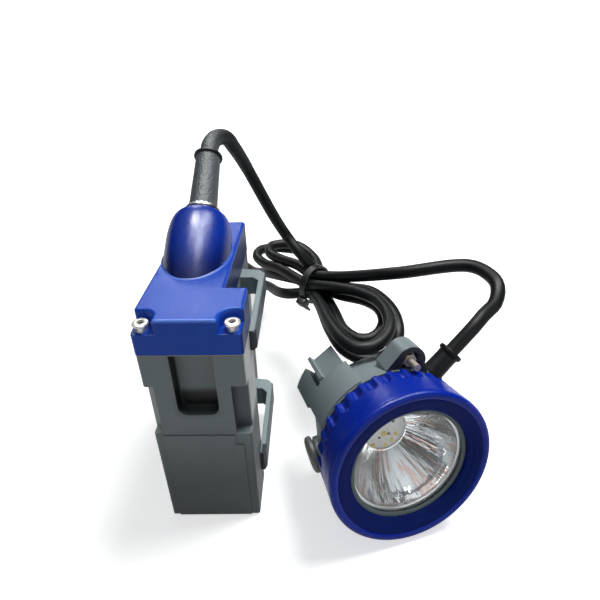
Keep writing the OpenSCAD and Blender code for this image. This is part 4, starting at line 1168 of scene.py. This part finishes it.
# CAD nodes that show as they are, apart from their finish
KEPT = {
    "lid_gasket": gasket_beige, "threaded_inserts": brass, "battery_cells": cell_green,
    "cell_cradle": black_plastic, "cell_pad": foam_pale, "nickel_strips": nickel,
    "protection_board": board_green, "board_parts": black_plastic, "battery_leads": lead_red,
    "housing_o_ring": black_rubber, "led_board": board_white, "main_led": led_yellow,
    "aux_leds": led_yellow, "led_resistors": black_plastic, "heat_sink": aluminium, "lamp_leads": lead_red,
    "clip_screws": steel, "stud_insulator": black_plastic, "charging_stud": stud_steel,
    "stud_nut": stud_steel, "switch_knob": knob_grey, "switch_seals": seal_pale,
    "switch_body": black_plastic}
for name, material in KEPT.items():
    cad = frame["nodes"][name]
    cad.data.materials.clear()
    cad.data.materials.append(material)

# ---------------------------------------------------------------- studio

# how much the floor glows to the camera, and in reflections
FLOOR_LIFT, FLOOR_SHEEN = 0.62, 0.5


def floor_material():
    """Pale floor whose white reads clean to the camera and still takes a shadow."""
    material, tree, shader, _ = blank("studio_white")
    seen = node(tree, "ShaderNodeLightPath").outputs
    sheen = times(tree, seen["Is Glossy Ray"], FLOOR_SHEEN)
    lift = node(tree, "ShaderNodeMath", {0: seen["Is Camera Ray"], 1: FLOOR_LIFT, 2: sheen},
                operation="MULTIPLY_ADD")
    feed(tree, shader, {
        "Base Color": mixed(tree, seen["Is Camera Ray"], (0.4, 0.4, 0.4, 1), (0.92, 0.92, 0.92, 1)),
        "Roughness": 0.9, "Specular IOR Level": 0.0,
        "Emission Color": (1, 1, 1, 1), "Emission Strength": lift.outputs[0]})
    return material


clear()
bpy.ops.mesh.primitive_plane_add(size=60, location=(0, 0, 0))
floor = named("studio_floor")
floor.data.materials.append(floor_material())


def studio_world():
    """White to the camera, dim all round, and a bright ceiling in reflections."""
    world = bpy.data.worlds.new("studio_world")
    world.use_nodes = True
    tree = world.node_tree
    tree.nodes.clear()
    path = node(tree, "ShaderNodeLightPath").outputs
    where = node(tree, "ShaderNodeSeparateXYZ", {0: node(tree, "ShaderNodeTexCoord").outputs["Generated"]})
    height = spread(tree, where.outputs[2], 0.02, 0.75, 0.45, 1.0)

    def glow(tint, strength):
        return node(tree, "ShaderNodeBackground", {"Color": tint, "Strength": strength}).outputs[0]

    def either(ray, no, yes):
        return node(tree, "ShaderNodeMixShader", {0: path[ray], 1: no, 2: yes}).outputs[0]

    around = either("Is Glossy Ray", glow((0.95, 0.97, 1.0, 1), 0.2), glow((0.96, 0.98, 1.0, 1), height))
    both = either("Is Camera Ray", around, glow((1, 1, 1, 1), 1.1))
    node(tree, "ShaderNodeOutputWorld", {0: both})
    return world


bpy.context.scene.world = studio_world()


def lamp_light(name, at, aim, size, power):
    """A soft panel that shows only in reflections."""
    light = bpy.data.lights.new(name, "AREA")
    light.shape = "RECTANGLE"
    light.size, light.size_y = size
    light.energy = power
    holder = linked(name, light)
    holder.location = at
    holder.rotation_euler = (Vector(aim) - Vector(at)).to_track_quat("-Z", "Y").to_euler()
    holder.visible_diffuse = False


def sun_light(name, toward, strength, spread_angle):
    light = bpy.data.lights.new(name, "SUN")
    light.energy = strength
    light.angle = math.radians(spread_angle)
    linked(name, light).rotation_euler = Vector(toward).to_track_quat("Z", "Y").to_euler()


sun_light("key_sun", (0.36, 0.28, 0.89), 2.6, 26)
lamp_light("dome_gleam", (-0.15, 0.17, 1.14), (0.0, 0.0, 0.12), (0.13, 0.15), 14.0)
lamp_light("bezel_gleam", (0.2, -0.06, 1.1), (0.08, -0.04, 0.07), (0.16, 0.12), 7.0)
lamp_light("lid_gleam", (-0.28, 1.06, 0.77), (0.0, -0.02, 0.1), (0.3, 0.3), 3.0)
lamp_light("front_card", (0.5, -1.15, 0.42), (0.08, -0.04, 0.04), (1.1, 0.5), 3.6)

bpy.context.scene.view_settings.view_transform = "Standard"
